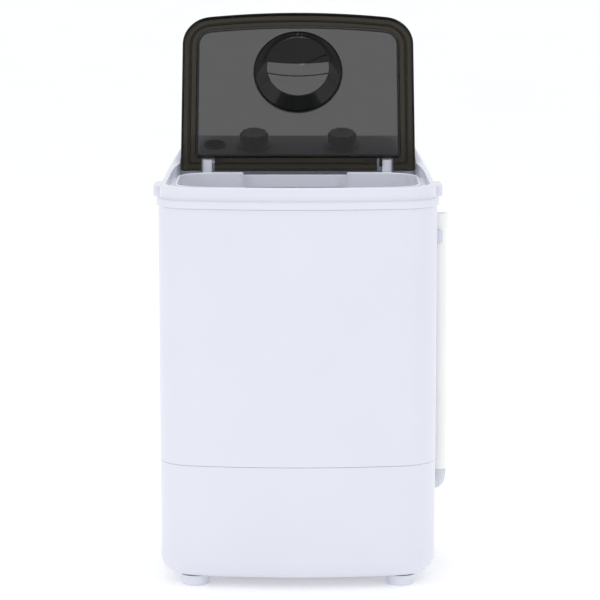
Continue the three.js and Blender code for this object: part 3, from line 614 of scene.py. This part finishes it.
def make_feet():
    for i in range(1, 5):
        low, high = local_box(f"foot_{i}")
        r, top = (high[0] - low[0]) / 2, high[2]
        profile = rounded([(0, 0, 0), (r - 1.2, 0, 2.5), (r, top, 0), (0, top, 0)], 6)
        groove = [(r - 9, 0.0), (r - 8, 1.0), (r - 5.5, 1.0), (r - 4.5, 0.0)]
        profile[1:1] = [np.array(point) for point in groove]
        foot = turned(profile, *middle_of(f"foot_{i}", 0, 1))
        add(foot, f"foot_pad_{i}", "white_plastic", f"foot_{i}")


def make_back_cover():
    low, high = local_box("back_cover")
    vents = [rounded_rect(-45, 45, z - 2.5, z + 2.5, 2.4) for z in range(71, 120, 12)]
    screws = [lambda d=0.0, x=x, z=z: circle(SCREW_HOLE_R - d, x, z, 24) for x, z in COVER_SCREWS]
    outline = rounded_rect(low[0], high[0], low[2], high[2], 8)
    cover = plate(outline, -high[1], -low[1], 0.8, vents + screws, 0.4)
    add(cover, "back_cover_plate", "pale_plastic", "back_cover", REARWARD)


def make_bottom_cover():
    low, high = local_box("bottom_cover")
    slots = [rounded_rect(x - 3, x + 3, -50, 40, 2.9) for x in range(-75, 76, 25)]
    outline = rounded_rect(low[0], high[0], low[1], high[1], 14)
    cover = plate(outline, low[2], high[2], 0.8, slots, 0.4)
    add(cover, "bottom_cover_plate", "black_plastic", "bottom_cover")


def make_gland():
    """The mains lead's bush: a bored sleeve with a flange outside the rear wall and a collar behind it."""
    bore, flange_r, collar_r = 4, 13, 9.9
    inside, outside = -BASE.rear + 8, -local_box("cord_gland")[1][1]
    flange = -BASE.rear - GAP
    back = flange - 4.2
    profile = rounded([(bore, inside, 0), (GLAND_R, inside, 0.6), (GLAND_R, flange, 0.2),
                       (flange_r, flange, 0.6), (flange_r, back, 1.4), (collar_r, back, 0.8),
                       (9.5, outside, 1.2), (bore, outside, 0.8)], 4, closed=True)
    add(turned(profile, *GLAND, closed=True), "mains_bush", "black_plastic", "cord_gland", REARWARD)


def make_cover_screws():
    """Round-headed screws with a cross recess."""
    for i, (x, z) in enumerate(COVER_SCREWS, 1):
        low, high = local_box(f"back_cover_screw_{i}")
        head, tip = -high[1], -low[1]
        profile = [(0, head + 0.2), (2.2, head + 0.25), (3.6, head + 0.8), (4.4, head + 1.7),
                   (4.5, head + 2.6), (2, head + 2.6), (2, tip), (0, tip)]
        slots = [rounded_rect(x - a, x + a, z - b, z + b, 0.3, steps=2)()
                 for a, b in ((3.0, 0.55), (0.55, 3.0))]
        cross = [prism(slot, head - 2, head + 1.6, REARWARD) for slot in slots]
        add(turned(profile, x, z, 32), f"rear_screw_{i}", "steel", f"back_cover_screw_{i}", REARWARD, cross)


# ---------- top frame and console ----------

FRAME_Z = local_box("top_frame")[0][2]
BEAD_TOP, DECK, RIM = 556.0, 565.0, 575.0
RECESS_LIP, NECK = 570.0, 551.0
LIP_DROP = 1.8
PANEL_JOINT = JOINTS["timer_knob_turn"]
PANEL_TILT = math.asin(-PANEL_JOINT["axis"][1])
PANEL_Y, PANEL_Z = PANEL_JOINT["pos_m"][1] / MM, PANEL_JOINT["pos_m"][2] / MM


def on_panel(x=0.0):
    """The frame of the sloping control panel: its face is at z = 0."""
    return Matrix.Translation(Vector((x, PANEL_Y, PANEL_Z)) * MM) @ Matrix.Rotation(PANEL_TILT, 4, "X")


PANEL_LOW, PANEL_HIGH = local_box("control_panel", on_panel())
SLOPE = math.tan(PANEL_TILT)
SLOPE_FRONT, SLOPE_REAR = 103.0, 165.0  # where the console's straight slope starts and ends


def bezier(a, b, c, d, steps=24):
    t = np.linspace(0, 1, steps + 1)[:, None]
    a, b, c, d = (np.array(p, float) for p in (a, b, c, d))
    return a * (1 - t) ** 3 + 3 * b * t * (1 - t) ** 2 + 3 * c * t ** 2 * (1 - t) + d * t ** 3


def slope_z(y):
    return PANEL_Z + SLOPE * (y - PANEL_Y)


SIDE_VIEW = chain(
    np.array([(-300.0, RIM), (15.0, RIM)]),
    bezier((15, RIM), (60, RIM), (85, 588), (SLOPE_FRONT, slope_z(SLOPE_FRONT))),
    np.array([(SLOPE_REAR, slope_z(SLOPE_REAR))]),
    bezier((SLOPE_REAR, slope_z(SLOPE_REAR)), (174, 622), (177, 612), (184, 598)),
)


def crown(points):
    """Height of the collar and console over each point of an outline."""
    return np.interp(points[:, 1], SIDE_VIEW[:, 0], SIDE_VIEW[:, 1])


def lean_in(points, z, d):
    """Draws in the ends of the console, which lean inwards above the shoulder."""
    shoulder_z, lean, soft = RIM - 4, 0.612, 3.0
    limit = BODY.w - 1.5 - lean * (z - shoulder_z) - (d - 1.5)
    reach = np.abs(points[:, 0])
    overlap = np.clip(soft - np.abs(limit - reach), 0, None) / soft
    drawn = np.minimum(reach, limit) - overlap ** 2 * soft / 4
    return np.column_stack([np.sign(points[:, 0]) * drawn, points[:, 1]])


def lip_top(points):
    """The mouth's lip slopes down a little to the front, and drops at the recess."""
    forward = np.clip((MOUTH.rear - points[:, 1]) / (MOUTH.rear - MOUTH.front + 10), 0, 1)
    t = np.clip((points[:, 1] - 49) / 8, 0, 1)
    return RIM - LIP_DROP * forward - (RIM - RECESS_LIP) * t * t * (3 - 2 * t)


def collar_rings():
    """From the inside of the bead, up the outer wall, over the top and down to the deck."""
    wall_d, wall_z, edge, lip = 1.5, BEAD_TOP + 2.5, 3.0, 1.6
    bead = rounded([(4, DECK - WALL, 0), (4, FRAME_Z, 0.5), (-3, FRAME_Z, 1.6), (-3, BEAD_TOP, 2.6),
                    (wall_d, BEAD_TOP, 1.0), (wall_d, wall_z, 0)], 4)
    rings = [at(plan(BODY, d), z) for d, z in bead]
    wall = plan(BODY, wall_d)
    for t in np.linspace(0.2, 1, 5):
        z = wall_z + t * (crown(wall) - edge - wall_z)
        rings.append(at(lean_in(wall, z, wall_d), z))
    for a in np.linspace(0, math.pi / 2, 7)[1:]:
        d = wall_d + edge * (1 - math.cos(a))
        ring = plan(BODY, d)
        z = crown(ring) - edge * (1 - math.sin(a))
        rings.append(at(lean_in(ring, z, d), z))
    outer, inner = rings[-1][:, :2], gutter(-lip)
    for t in np.linspace(0, 1, 13)[1:]:
        mixed_ring = outer * (1 - t) + inner * t
        rings.append(at(mixed_ring, crown(mixed_ring)))
    for a in np.linspace(0, math.pi / 2, 5)[1:]:
        ring = gutter(-lip + lip * math.sin(a))
        rings.append(at(ring, crown(inner) - lip * (1 - math.cos(a))))
    for d, z in rounded([(0, DECK + 4, 0), (0, DECK, 1.2), (2.5, DECK, 0)], 4)[1:-1]:
        rings.append(at(gutter(d), z))
    return rings


def neck_rings():
    """From the deck, over the mouth's lip and down inside it, back up under the deck."""
    lip, thick = 1.5, 3.5
    foot = rounded([(8, DECK, 0), (thick, DECK, 1.2), (thick, DECK + 3, 0)], 4)[1:-1]
    rings = [at(mouth(g), z) for g, z in foot]
    for g, drop in rounded([(thick, 3, 0), (thick, 0, lip), (0, 0, lip), (0, 3, 0)], 5)[1:-1]:
        ring = mouth(g)
        rings.append(at(ring, lip_top(mouth(0)) - drop))
    for g, z in rounded([(0, DECK, 0), (0, NECK, 1.0), (thick, NECK, 1.0), (thick, DECK - WALL, 0)], 4):
        rings.append(at(mouth(g), z))
    return rings


def console_hollow():
    """The space for the timer, switch and duct inside the console."""
    roof = [(y, slope_z(y) - 8) for y in (SLOPE_FRONT + 3.5, 166)]
    section = np.array([(106.5, 540), (176, 540), (176, 600), roof[1], roof[0]])
    hollow = prism(section, -162, 162, SIDE_ON)
    return combine(hollow, [prism(plan(BODY, 5), 500, 640)], "INTERSECT")


def make_top_frame():
    collar, neck = collar_rings(), neck_rings()
    shape = Shape().loft(collar).loft(neck)
    shape.flat(collar[-1], neck[0]).flat(collar[0], neck[-1])
    top = shape.make("top_frame_moulding", ["white_plastic"])
    half_w, half_d = PANEL_HIGH[0], PANEL_HIGH[1]
    seat = rounded_rect(-half_w - GAP, half_w + GAP, -half_d - GAP, half_d + GAP, 6, 25)()
    opening = rounded_rect(-half_w + 6, half_w - 6, -half_d + 8, half_d - 6, 4, 15)()
    tools = [console_hollow()]
    tools += [prism(seat, PANEL_LOW[2] - GAP, 30, on_panel()), prism(opening, -30, 0, on_panel())]
    cut_finger_spaces(combine(top, tools))
    settle(top, "cabinet", "white_plastic", "top_frame")


GRIP = {"front": -65.0, "rear": -5.0, "out": 208.0, "lip": 550.5, "top": 567.5, "thick": 3.7}


def across(side, *reach):
    """Lowest and highest x of a span given outwards from the middle."""
    return sorted(side * r for r in reach)


def cut_finger_spaces(top):
    """The bead gives way to the fingers under each grip."""
    wall, thick = BODY.w - 1.5, GRIP["thick"]
    ends = (GRIP["front"] + thick, GRIP["rear"] - thick)
    spans = [across(side, wall, wall + 12) for side in (-1, 1)]
    return combine(top, [prism(rounded_rect(*x, *ends, 1.5)(), 535, BEAD_TOP + 1) for x in spans])


def make_grips():
    """Short hooked ledges on the collar's sides, hollow underneath for the fingers."""
    front, rear, out, lip, top, thick = GRIP.values()
    for side, name in ((-1, "grip_ledge_left"), (1, "grip_ledge_right")):
        x = across(side, BODY.w - 12, out)
        ledge = plate(rounded_rect(*x, front, rear, 7.5, steps=12), lip, top, 3.2)
        fingers = across(side, BODY.w - 30, out - thick)
        bead, wall = across(side, BODY.w - 40, BODY.w + 3.4), across(side, BODY.w - 40, BODY.w - 3)
        ends = (front - 5, rear + 5)
        tools = [
            prism(rounded_rect(*fingers, front + thick, rear - thick, 4.5)(), lip - 10, top - thick),
            prism(rounded_rect(*bead, *ends, 1, steps=2)(), lip - 10, BEAD_TOP + 0.4),
            prism(rounded_rect(*wall, *ends, 1, steps=2)(), lip - 10, top + 10),
        ]
        add(ledge, name, "white_plastic", "top_frame", holes=tools)


HINGE = Vector(JOINTS["lid_hinge"]["pos_m"])
HINGE_Y, HINGE_Z = HINGE.y / MM, HINGE.z / MM
PIN_R = 2.0
POSTS = {"left": (-141.5, -127.5), "right": (125.0, 139.0)}
POST_SIDE = {"front": 76.6, "rear": 88.5, "top": 590.5}


def make_hinge_posts():
    """White posts that stand on the deck and carry the lid's pins."""
    front, rear, top = POST_SIDE.values()
    for side, (x0, x1) in POSTS.items():
        post = plate(rounded_rect(DECK - 1, top, front, rear, 0.9), x0, x1, 0.8)
        bore = prism(circle(PIN_R + GAP, HINGE_Z, HINGE_Y, 24), x0 - 2, x1 + 2, CROSSWISE)
        add(post, f"hinge_post_{side}", "white_plastic", "top_frame", CROSSWISE, [bore])


def make_hinge_pins():
    for side in ("left", "right"):
        low, high = local_box(f"hinge_pin_{side}")
        profile = rounded([(0, low[0], 0), (PIN_R, low[0], 0.5), (PIN_R, high[0], 0.5), (0, high[0], 0)], 3)
        pin = turned(profile, HINGE_Z, HINGE_Y, 32)
        add(pin, f"lid_pin_{side}", "pale_plastic", f"hinge_pin_{side}", CROSSWISE)


def make_control_panel():
    half_w, half_d = PANEL_HIGH[0], PANEL_HIGH[1]
    holes = [(x, 4.0) for x in KNOB_X.values()] + [(INLET_X, 14.0)]
    circles = [lambda d=0.0, x=x, r=r: circle(r - d, x, 0, 48) for x, r in holes]
    outline = rounded_rect(-half_w, half_w, -half_d, half_d, 6, 25, 10)
    panel = plate(outline, PANEL_LOW[2], 0, 0.7, circles, 0.4)
    add(panel, "console_panel", "panel_plastic", "control_panel", on_panel())


KNOB_X = {dial: JOINTS[f"{dial}_knob_turn"]["pos_m"][0] / MM for dial in ("timer", "mode")}
INLET_X = -125.0


def make_knobs():
    """A ribbed skirt, a fluted grip with a dished top and a raised pointer."""
    turns = np.linspace(0, 2 * math.pi, 240, endpoint=False)

    def wavy(r, z, lobes=10, depth=0.0):
        radius = r + depth * np.cos(lobes * turns)
        return at(np.column_stack([radius * np.cos(turns), radius * np.sin(turns)]), z)

    for dial, x in KNOB_X.items():
        rings = [wavy(*ring) for ring in (
            (3.3, 14.3), (3.3, 0.6), (26.4, 0.6), (26.9, 0.9, 40, 0.2), (26.9, 1.8, 40, 0.25),
            (26.2, 2.4, 40, 0.25), (22.6, 4.3, 40, 0.15), (20.6, 4.9), (19.9, 5.4, 10, 1.1))]
        rings += [wavy(r, z, 10, depth) for r, z, depth in (
            (19.9, 6.5, 1.3), (19.9, 17.5, 1.3), (19.7, 18.6, 1.3), (19.1, 19.7, 1.25), (18.1, 20.3, 1.15),
            (16.9, 20.5, 0.9), (15.6, 20.3, 0.4), (14.9, 19.9, 0.0), (8, 19.7, 0.0), (0.4, 19.6, 0.0))]
        knob = Shape().capped(rings).make(f"{dial}_dial", ["knob_plastic"], on_panel(x))
        pointer = plate(rounded_rect(-1.2, 1.2, 4, 17, 1.15), 19.2, 21.5, 0.5)
        pointer = pointer.make("pointer", ["knob_plastic"], on_panel(x))
        combine(knob, [pointer], "UNION")
        settle(knob, f"{dial}_dial", "knob_plastic", f"{dial}_knob")


def make_inlet_port():
    """The inlet's socket, with a flange on the panel."""
    bore, socket, flange, deep = 11.5, 13.5, 16.5, -14
    profile = rounded([(bore, deep, 0.3), (socket, deep, 0.3), (socket, GAP, 0.2), (flange, GAP, 0.3),
                       (flange, 2.0, 1.0), (12.0, 2.2, 0.9)], 4, closed=True)
    port = turned(profile, closed=True)
    add(port, "inlet_port_ring", "black_plastic", "water_inlet_port", on_panel(INLET_X))


# ---------- lid ----------

LID_OPEN = JOINTS["lid_hinge"]["range_deg"][1]
LID_PLACE = Matrix.Translation(HINGE) @ Matrix.Rotation(math.radians(-LID_OPEN), 4, "X")
SHELL = {"under": -11.0, "top": -5.0, "band": 24.0, "skin": 2.5}
DISH = {"y": -143.0, "r": 65.0, "floor": 48.0, "depth": 20.0}
LID_LOOKS = ["smoked_plastic", "smoked_band", "smoked_edge"]
CLEAR, BAND, EDGE = range(3)
KNUCKLES = ((-123.5, -113), (95, 117), (120.8, 124.4))
NOTCHES = ((-143, -123.5), (117, 140.7))
NOTCH_Y = -3.9
LID = outline_of("lid", 45, 3, 1270, LID_PLACE)._replace(rear=17.0)


def lid_ring(d, z):
    """The lid's outline at an inset, with tight rear corners that round off inside the rim."""
    rr = 3.0 if d < 1.5 else 5.0
    return at(plan(LID._replace(rr=rr + d), d, 6), z)


def make_lid():
    """A thin clear sheet in a hollow raised border, with beads, pin ears and notches for the posts."""
    under, top, band, skin = SHELL.values()
    wall = [(band - 2.5, under + 0.6), (band - 2.5, top - skin - 0.5), (band - 3, top - skin)]
    channel = [(14.2, top - skin), (13.6, top - skin - 0.9), (11.6, top - skin - 0.9), (11.0, top - skin)]
    rim_in = [(3.0, top - skin), (2.5, top - skin - 0.5), (2.5, under + 0.4), (2.1, under)]
    rim_out = rounded([(2.1, under, 0), (0, under, 0.7), (0, top, 1.6), (3, top, 0)], 4)
    crest = [(8.6, top), (9.4, top - 0.8), (10.6, top - 0.8), (11.4, top), (band - 2.4, top)]
    step = rounded([(band - 2.4, top, 0), (band, top, 1.2), (band, under + skin, 0.6),
                    (band + 1.5, under + skin, 0)], 3)
    shape = Shape()

    def strip(profile, look):
        shape.loft([lid_ring(d, z) for d, z in profile], look=look)

    under_edge = (band - 1.9, under)
    strip([under_edge, *wall], EDGE)
    strip([wall[-1], channel[0]], BAND)
    strip(channel, EDGE)
    strip([channel[-1], rim_in[0]], BAND)
    strip(rim_in, EDGE)
    strip(rim_out, EDGE)
    strip([rim_out[-1], crest[0]], BAND)
    strip(crest[:4], EDGE)
    strip(crest[3:], BAND)
    strip(step, EDGE)
    hole = circle(DISH["r"] + 0.8, 0, DISH["y"], 96)
    shape.flat(lid_ring(*under_edge), at(hole, under))
    shape.flat(lid_ring(*step[-1]), at(hole, under + skin))
    shape.loft([at(hole, under), at(hole, under + skin)], look=EDGE)
    lid = shape.make("lid_shell", LID_LOOKS, LID_PLACE)
    notches = [prism(rounded_rect(x0, x1, NOTCH_Y, 40, 0.8)(), -20, 20, LID_PLACE, "smoked_edge")
               for x0, x1 in NOTCHES]
    combine(lid, notches)
    along_pins, ear_r = LID_PLACE @ SIDE_ON, 6.5
    ear = chain(arc(0, 0, ear_r, 0, math.pi, 20), np.array([(-ear_r, top - 3), (ear_r, top - 3)]))
    ears = [prism(ear, x0, x1, along_pins, "smoked_edge") for x0, x1 in KNUCKLES]
    combine(lid, ears, "UNION")
    bore = prism(circle(PIN_R + GAP, 0, 0, 24), -200, 200, along_pins, "smoked_edge")
    settle(combine(lid, [bore]), "lid_set", "smoked_plastic", "lid")


def make_lid_handle():
    """A round dish sunk into the lid, its front half covered by a lip for the fingers."""
    y, r, floor, depth = DISH.values()
    flange = SHELL["under"] + SHELL["skin"] + GAP
    low = SHELL["under"] - depth + 2.5
    shape = Shape()

    def strip(profile, look):
        shape.loft([at(circle(max(rr, 0.001), 0, y, 96), z) for rr, z in profile], look=look)

    bottom = rounded([(0, low, 0), (floor, low, 2.0), (r - 0.5, SHELL["under"], 1.5), (r - 0.5, flange, 0.3),
                      (r + 2, flange, 0.3), (r + 2, flange + 1.5, 0.6), (r - 3, flange + 1.5, 1.5),
                      (floor - 1, low + 2.5, 1.6), (0, low + 2.5, 0)], 4)
    strip(bottom[:2], CLEAR)
    strip(bottom[1:-1], EDGE)
    strip(bottom[-2:], CLEAR)
    dish = shape.make("lid_finger_dish", LID_LOOKS, LID_PLACE)
    chord = -19.0
    reach = math.sqrt((r - 2) ** 2 - chord ** 2)

    def moon(d=0.0):
        a = math.atan2(chord - d, -reach)
        rim = arc(0, y, r - 2 - d, a, math.atan2(chord - d, reach), 40)
        t = np.linspace(0, 1, 21)[1:-1, None]
        p, q, m = rim[-1], rim[0], np.array([0, y + chord + 10 - d])
        return np.vstack([rim, p * (1 - t) ** 2 + 2 * m * t * (1 - t) + q * t ** 2])

    lip = plate(moon, flange, flange + 1.5, 0.5).make("lid_finger_lip", ["smoked_edge"], LID_PLACE)
    half, steps = 45, 31
    path = [(x, y + 14.7 - 4.7 * (x / half) ** 2, low + 2.5) for x in np.linspace(-half, half, steps)]
    ridge = Shape().capped(sweep(path, [0.9] * steps, 12))
    ridge = ridge.make("lid_dish_ridge", ["smoked_edge"], LID_PLACE)
    for piece in (dish, lip, ridge):
        settle(piece, "lid_set", "smoked_plastic", "lid_handle")


# ---------- tub, pulsator and filter ----------

TUB_LOW, TUB_HIGH = local_box("wash_tub")
AXIS_Y = JOINTS["pulsator_spin"]["pos_m"][1] / MM


def make_tub():
    z0, z1 = TUB_LOW[2], TUB_HIGH[2]
    profile = rounded([(26, z0, 0), (0, z0, 20), (0, z1, 0.8), (WALL, z1, 0.8), (WALL, z0 + WALL, 17),
                       (26, z0 + WALL, 0)], 8)
    tub = Shape().capped([at(plan(TUB, d), z) for d, z in profile])
    seal, drain = circle(17.8, 0, AXIS_Y), circle(9, 110, 20, 40)
    holes = [prism(hole, z0 - 10, z0 + 20) for hole in (seal, drain)]
    holes.append(prism(circle(10.4, INLET_X, 538, 40), -TUB.rear - 10, -TUB.rear + 20, REARWARD))
    add(tub, "tub_shell", "tub_plastic", "wash_tub", holes=holes)


def make_pulsator():
    """A shallow disc whose four vanes rise smoothly out of it."""
    low, high = local_box("pulsator")
    z0, rim = low[2], high[0]
    steps = 288
    turns = np.linspace(0, 2 * math.pi, steps, endpoint=False)
    off_vane = np.abs(turns % (math.pi / 2) - math.pi / 4)

    def ring(r):
        skin = np.interp(r, [0, 20, 60, 108, 112, rim], [14, 14, 9, 6, 5, 3])
        vane = np.interp(r, [16, 34, 60, 92, 104, rim], [15.5, 20.5, 19, 16, 8, 3])
        swell = np.exp(-((r * np.sin(off_vane)) / 7.0) ** 4) if r > 16 else np.zeros(len(turns))
        z = z0 + skin + max(vane - skin, 0) * swell
        return np.column_stack([r * np.cos(turns), AXIS_Y + r * np.sin(turns), z])

    def plain(*pairs):
        return [at(circle(r, 0, AXIS_Y, steps), z0 + z) for r, z in pairs]

    radii = [24, 26, 30, 34, 38, 44, 50, 57, 64, 71, 78, 85, 91, 96, 100, 104, 107, 110, 112, 113.2, rim]
    rings = plain((3.3, 5), (3.3, 16), (22.5, 16), (24, 14.8))
    rings += [ring(r) for r in radii]
    rings += plain((rim - 0.6, 1.5), (rim - 4, 0), (7.3, 0), (7.3, 5))
    disc = Shape().loft(rings, closed=True)
    add(disc, "pulsator_disc", "pale_plastic", "pulsator", body="pulsator_set")


def make_filter_rim():
    low, high = local_box("lint_filter_frame")
    outline = rounded_rect(low[0], high[0], low[2], high[2], 8)
    window = rounded_rect(low[0] + 8, high[0] - 8, low[2] + 8, high[2] - 14, 5)
    rim = plate(outline, -high[1], -low[1], 1.2, [window], 0.8)
    add(rim, "filter_rim", "pale_plastic", "lint_filter_frame", REARWARD, body="lint_filter")


def make_filter_pouch():
    """A mesh bag, flat behind and slack in front: two grids of points joined round their border."""
    low, high = local_box("lint_filter_bag")
    columns, rows = 40, 46
    shape = Shape()
    grid = []
    for side in (0, 1):
        for v in np.linspace(-1, 1, rows):
            u = np.linspace(-1, 1, columns)
            pinch = 1 - 0.06 * (1 - v) * 0.5 * u ** 2
            x = (low[0] + high[0]) / 2 + u * (high[0] - low[0]) / 2 * (1 - 0.12 * max(-v, 0) ** 4)
            z = (low[2] + high[2]) / 2 + v * pinch * (high[2] - low[2]) / 2
            full = np.clip((1 - u ** 4) * (1 - v ** 6), 0, 1) ** 0.6
            belly = (0.55 - 0.35 * v) * full * (1 + 0.05 * np.sin(9 * u + 2 * v) * (1 + v))
            depth = np.clip(belly, 0, 0.97) * (high[1] - low[1] - 1)
            y = high[1] - (0.6 + 0.35 * full if side else 1.0 + depth)
            grid.append(shape.ring(np.column_stack([x, y, z])))
    for side in (0, 1):
        for i in range(rows - 1):
            a, b = grid[side * rows + i], grid[side * rows + i + 1]
            for j in range(columns - 1):
                shape.faces.append((a[j], a[j + 1], b[j + 1], b[j]))
                shape.looks.append(0)
    front, back = grid[:rows], grid[rows:]
    border = [(i, 0) for i in range(rows)]
    border += [(rows - 1, j) for j in range(1, columns)]
    border += [(i, columns - 1) for i in range(rows - 2, -1, -1)]
    border += [(0, j) for j in range(columns - 2, 0, -1)]
    for (i, j), (k, m) in zip(border, border[1:] + border[:1]):
        shape.faces.append((front[i][j], front[k][m], back[k][m], back[i][j]))
        shape.looks.append(0)
    add(shape, "filter_pouch", "filter_mesh", "lint_filter_bag", body="lint_filter")


# ---------- drain hose ----------

HOSE_TOP = (209.1, 515.0)
# The hose's centre line from the elbow's socket up to its cuff, in metres.
HOSE_ROUTE = (
    (0.2097, 0.040, 0.1323),
    (0.2100, 0.040, 0.1410),
    (0.2103, 0.040, 0.1600),
    (0.2106, 0.040, 0.2100),
    (0.2103, 0.040, 0.3000),
    (0.2096, 0.040, 0.4000),
    (0.2091, 0.040, 0.4700),
    (0.2091, 0.040, 0.5150),
)


def smooth_route(points, per_span=4):
    """Centripetal Catmull-Rom curve through the points."""
    points = [np.array(p) for p in points]
    ends = [2 * points[0] - points[1], *points, 2 * points[-1] - points[-2]]
    out = []
    for a, b, c, d in zip(ends, ends[1:], ends[2:], ends[3:]):
        k = np.cumsum([0, *(np.linalg.norm(q - p) ** 0.5 for p, q in ((a, b), (b, c), (c, d)))])
        for t in np.linspace(k[1], k[2], per_span, endpoint=False):
            ab = (k[1] - t) / (k[1] - k[0]) * a + (t - k[0]) / (k[1] - k[0]) * b
            bc = (k[2] - t) / (k[2] - k[1]) * b + (t - k[1]) / (k[2] - k[1]) * c
            cd = (k[3] - t) / (k[3] - k[2]) * c + (t - k[2]) / (k[3] - k[2]) * d
            abc = (k[2] - t) / (k[2] - k[0]) * ab + (t - k[0]) / (k[2] - k[0]) * bc
            bcd = (k[3] - t) / (k[3] - k[1]) * bc + (t - k[1]) / (k[3] - k[1]) * cd
            out.append((k[2] - t) / (k[2] - k[1]) * abc + (t - k[1]) / (k[2] - k[1]) * bcd)
    return np.array([*out, points[-1]])


def lined_up(rings, last):
    """Rings turned so that each starts beside the last ring's first point and runs the same way."""
    turn = np.argmin(np.linalg.norm(rings[0][:, :2] - last[0, :2], axis=1))
    rings = [np.roll(ring, -turn, axis=0) for ring in rings]
    ahead, behind = (np.linalg.norm(rings[0][k, :2] - last[1, :2]) for k in (1, -1))
    return [np.roll(ring[::-1], 1, axis=0) for ring in rings] if ahead > behind else rings


def make_tube(route):
    """The hose itself, whose open end shows its bore."""
    sides, wall = 40, 2.5
    x, z = HOSE_TOP
    outer = sweep(route / MM, [HOSE_R] * len(route), sides)
    end = ((HOSE_R - 0.5, z + 0.4), (HOSE_R - 2.1, z + 0.4), (HOSE_R - wall, z), (HOSE_R - wall, z - 40))
    bore = [at(circle(r, x, HOSE_Y, sides), h) for r, h in end]
    tube = Shape().capped(outer + lined_up(bore, outer[-1]))
    return tube.make("drain_hose_tube", ["hose_plastic"])


def make_cuff():
    low, high = local_box("hose_cuff")
    outer_r, bore_r = (high[0] - low[0]) / 2, HOSE_R + 0.3
    profile = rounded([(bore_r, low[2], 0.2), (outer_r, low[2], 0.4), (outer_r, high[2], 0.4),
                       (bore_r, high[2], 0.2)], 3, closed=True)
    cuff = turned(profile, HOSE_TOP[0], HOSE_Y, 48, closed=True)
    return cuff.make("hose_end_cuff", ["hose_plastic"])


def make_hose():
    """A smooth milky hose, open at its cuffed end, in an elbow and a clip."""
    route = smooth_route(HOSE_ROUTE)
    hose, cuff, elbow, clip = make_tube(route), make_cuff(), make_elbow(), make_clip()
    for piece, slot, node in ((hose, "hose_plastic", "drain_hose"), (cuff, "hose_plastic", "hose_cuff"),
                              (elbow, "pale_plastic", "drain_elbow"), (clip, "white_plastic", "hose_clip")):
        settle(piece, "cabinet", slot, node)


def make_elbow():
    """A spigot out of the casing that bends up into the hose's socket."""
    x, z, tilt, reach = 209.0, ELBOW_Z, math.radians(2), 20.0
    end = np.array([x + reach * math.sin(tilt), HOSE_Y, z + reach * math.cos(tilt)])
    corner = np.array([x, HOSE_Y, z])
    start = corner + (-8.0, 0, 0)
    bend_end = corner + (end - corner) * 0.5
    steps, sides, bore = 12, 40, 7.5
    t = np.linspace(0, 1, steps + 1)[:, None]
    bend = start * (1 - t) ** 2 + 2 * corner * t * (1 - t) + bend_end * t ** 2
    socket = [bend_end + (end - bend_end) * k for k in (0.35, 0.4, 0.9, 1)]
    path = np.vstack([[(181, HOSE_Y, z), (190, HOSE_Y, z)], bend, socket])
    radii = [10, 10] + [10 + 0.3 * k / steps for k in range(steps + 1)] + [10.4, 11, 11, 10.6]
    outer = sweep(path, radii, sides)
    inner = sweep(path, [bore] * len(path), sides)[::-1]
    return Shape().loft(outer + inner, closed=True).make("drain_elbow_fitting", ["pale_plastic"])


def make_clip():
    """A spring clip, open outwards, that holds the hose under the collar."""
    low, high = local_box("hose_clip")
    x, bore, thick = HOSE_TOP[0], HOSE_R + 0.6, 2.6
    gap = math.acos(4 / (bore + thick))
    arms = chain(arc(x, HOSE_Y, bore + thick, gap, 2 * math.pi - gap, 48),
                 arc(x, HOSE_Y, bore, 2 * math.pi - gap, gap, 48))
    clip = prism(arms, low[2], high[2])
    clip.name = "hose_holder"
    pad = prism(rounded_rect(low[0], low[0] + 2.5, low[1], high[1], 1)(), low[2], high[2])
    combine(clip, [pad], "UNION")
    combine(clip, [prism(circle(bore, x, HOSE_Y, 96), low[2] - 5, high[2] + 5)])
    soften(clip, 0.5)
    return clip


def soften(piece, width, segments=2):
    """Rounds the sharp edges a little."""
    bevel = piece.modifiers.new("soft_edges", "BEVEL")
    bevel.width = width * MM
    bevel.segments = segments
    bevel.limit_method = "ANGLE"
    bevel.angle_limit = math.radians(40)
    bevel.use_clamp_overlap = True


# ---------- pieces that stay as the CAD made them ----------

def finish_cad_nodes():
    slots = {part["node"]: part["material_slot"] for part in frame["record"]["subparts"]}
    for name, piece in frame["nodes"].items():
        piece.data.materials.clear()
        piece.data.materials.append(LOOKS[slots[name]])
        if piece.hide_render:
            continue
        soften(piece, 0.35)
        smooth(piece)


make_camera()
make_hose()
make_studio()
make_floor()
for make in (make_base, make_upper_casing, make_feet, make_back_cover, make_bottom_cover, make_gland,
             make_cover_screws, make_top_frame, make_grips, make_hinge_posts, make_hinge_pins,
             make_control_panel, make_knobs, make_inlet_port, make_lid, make_lid_handle, make_tub,
             make_pulsator, make_filter_rim, make_filter_pouch, finish_cad_nodes):
    make()
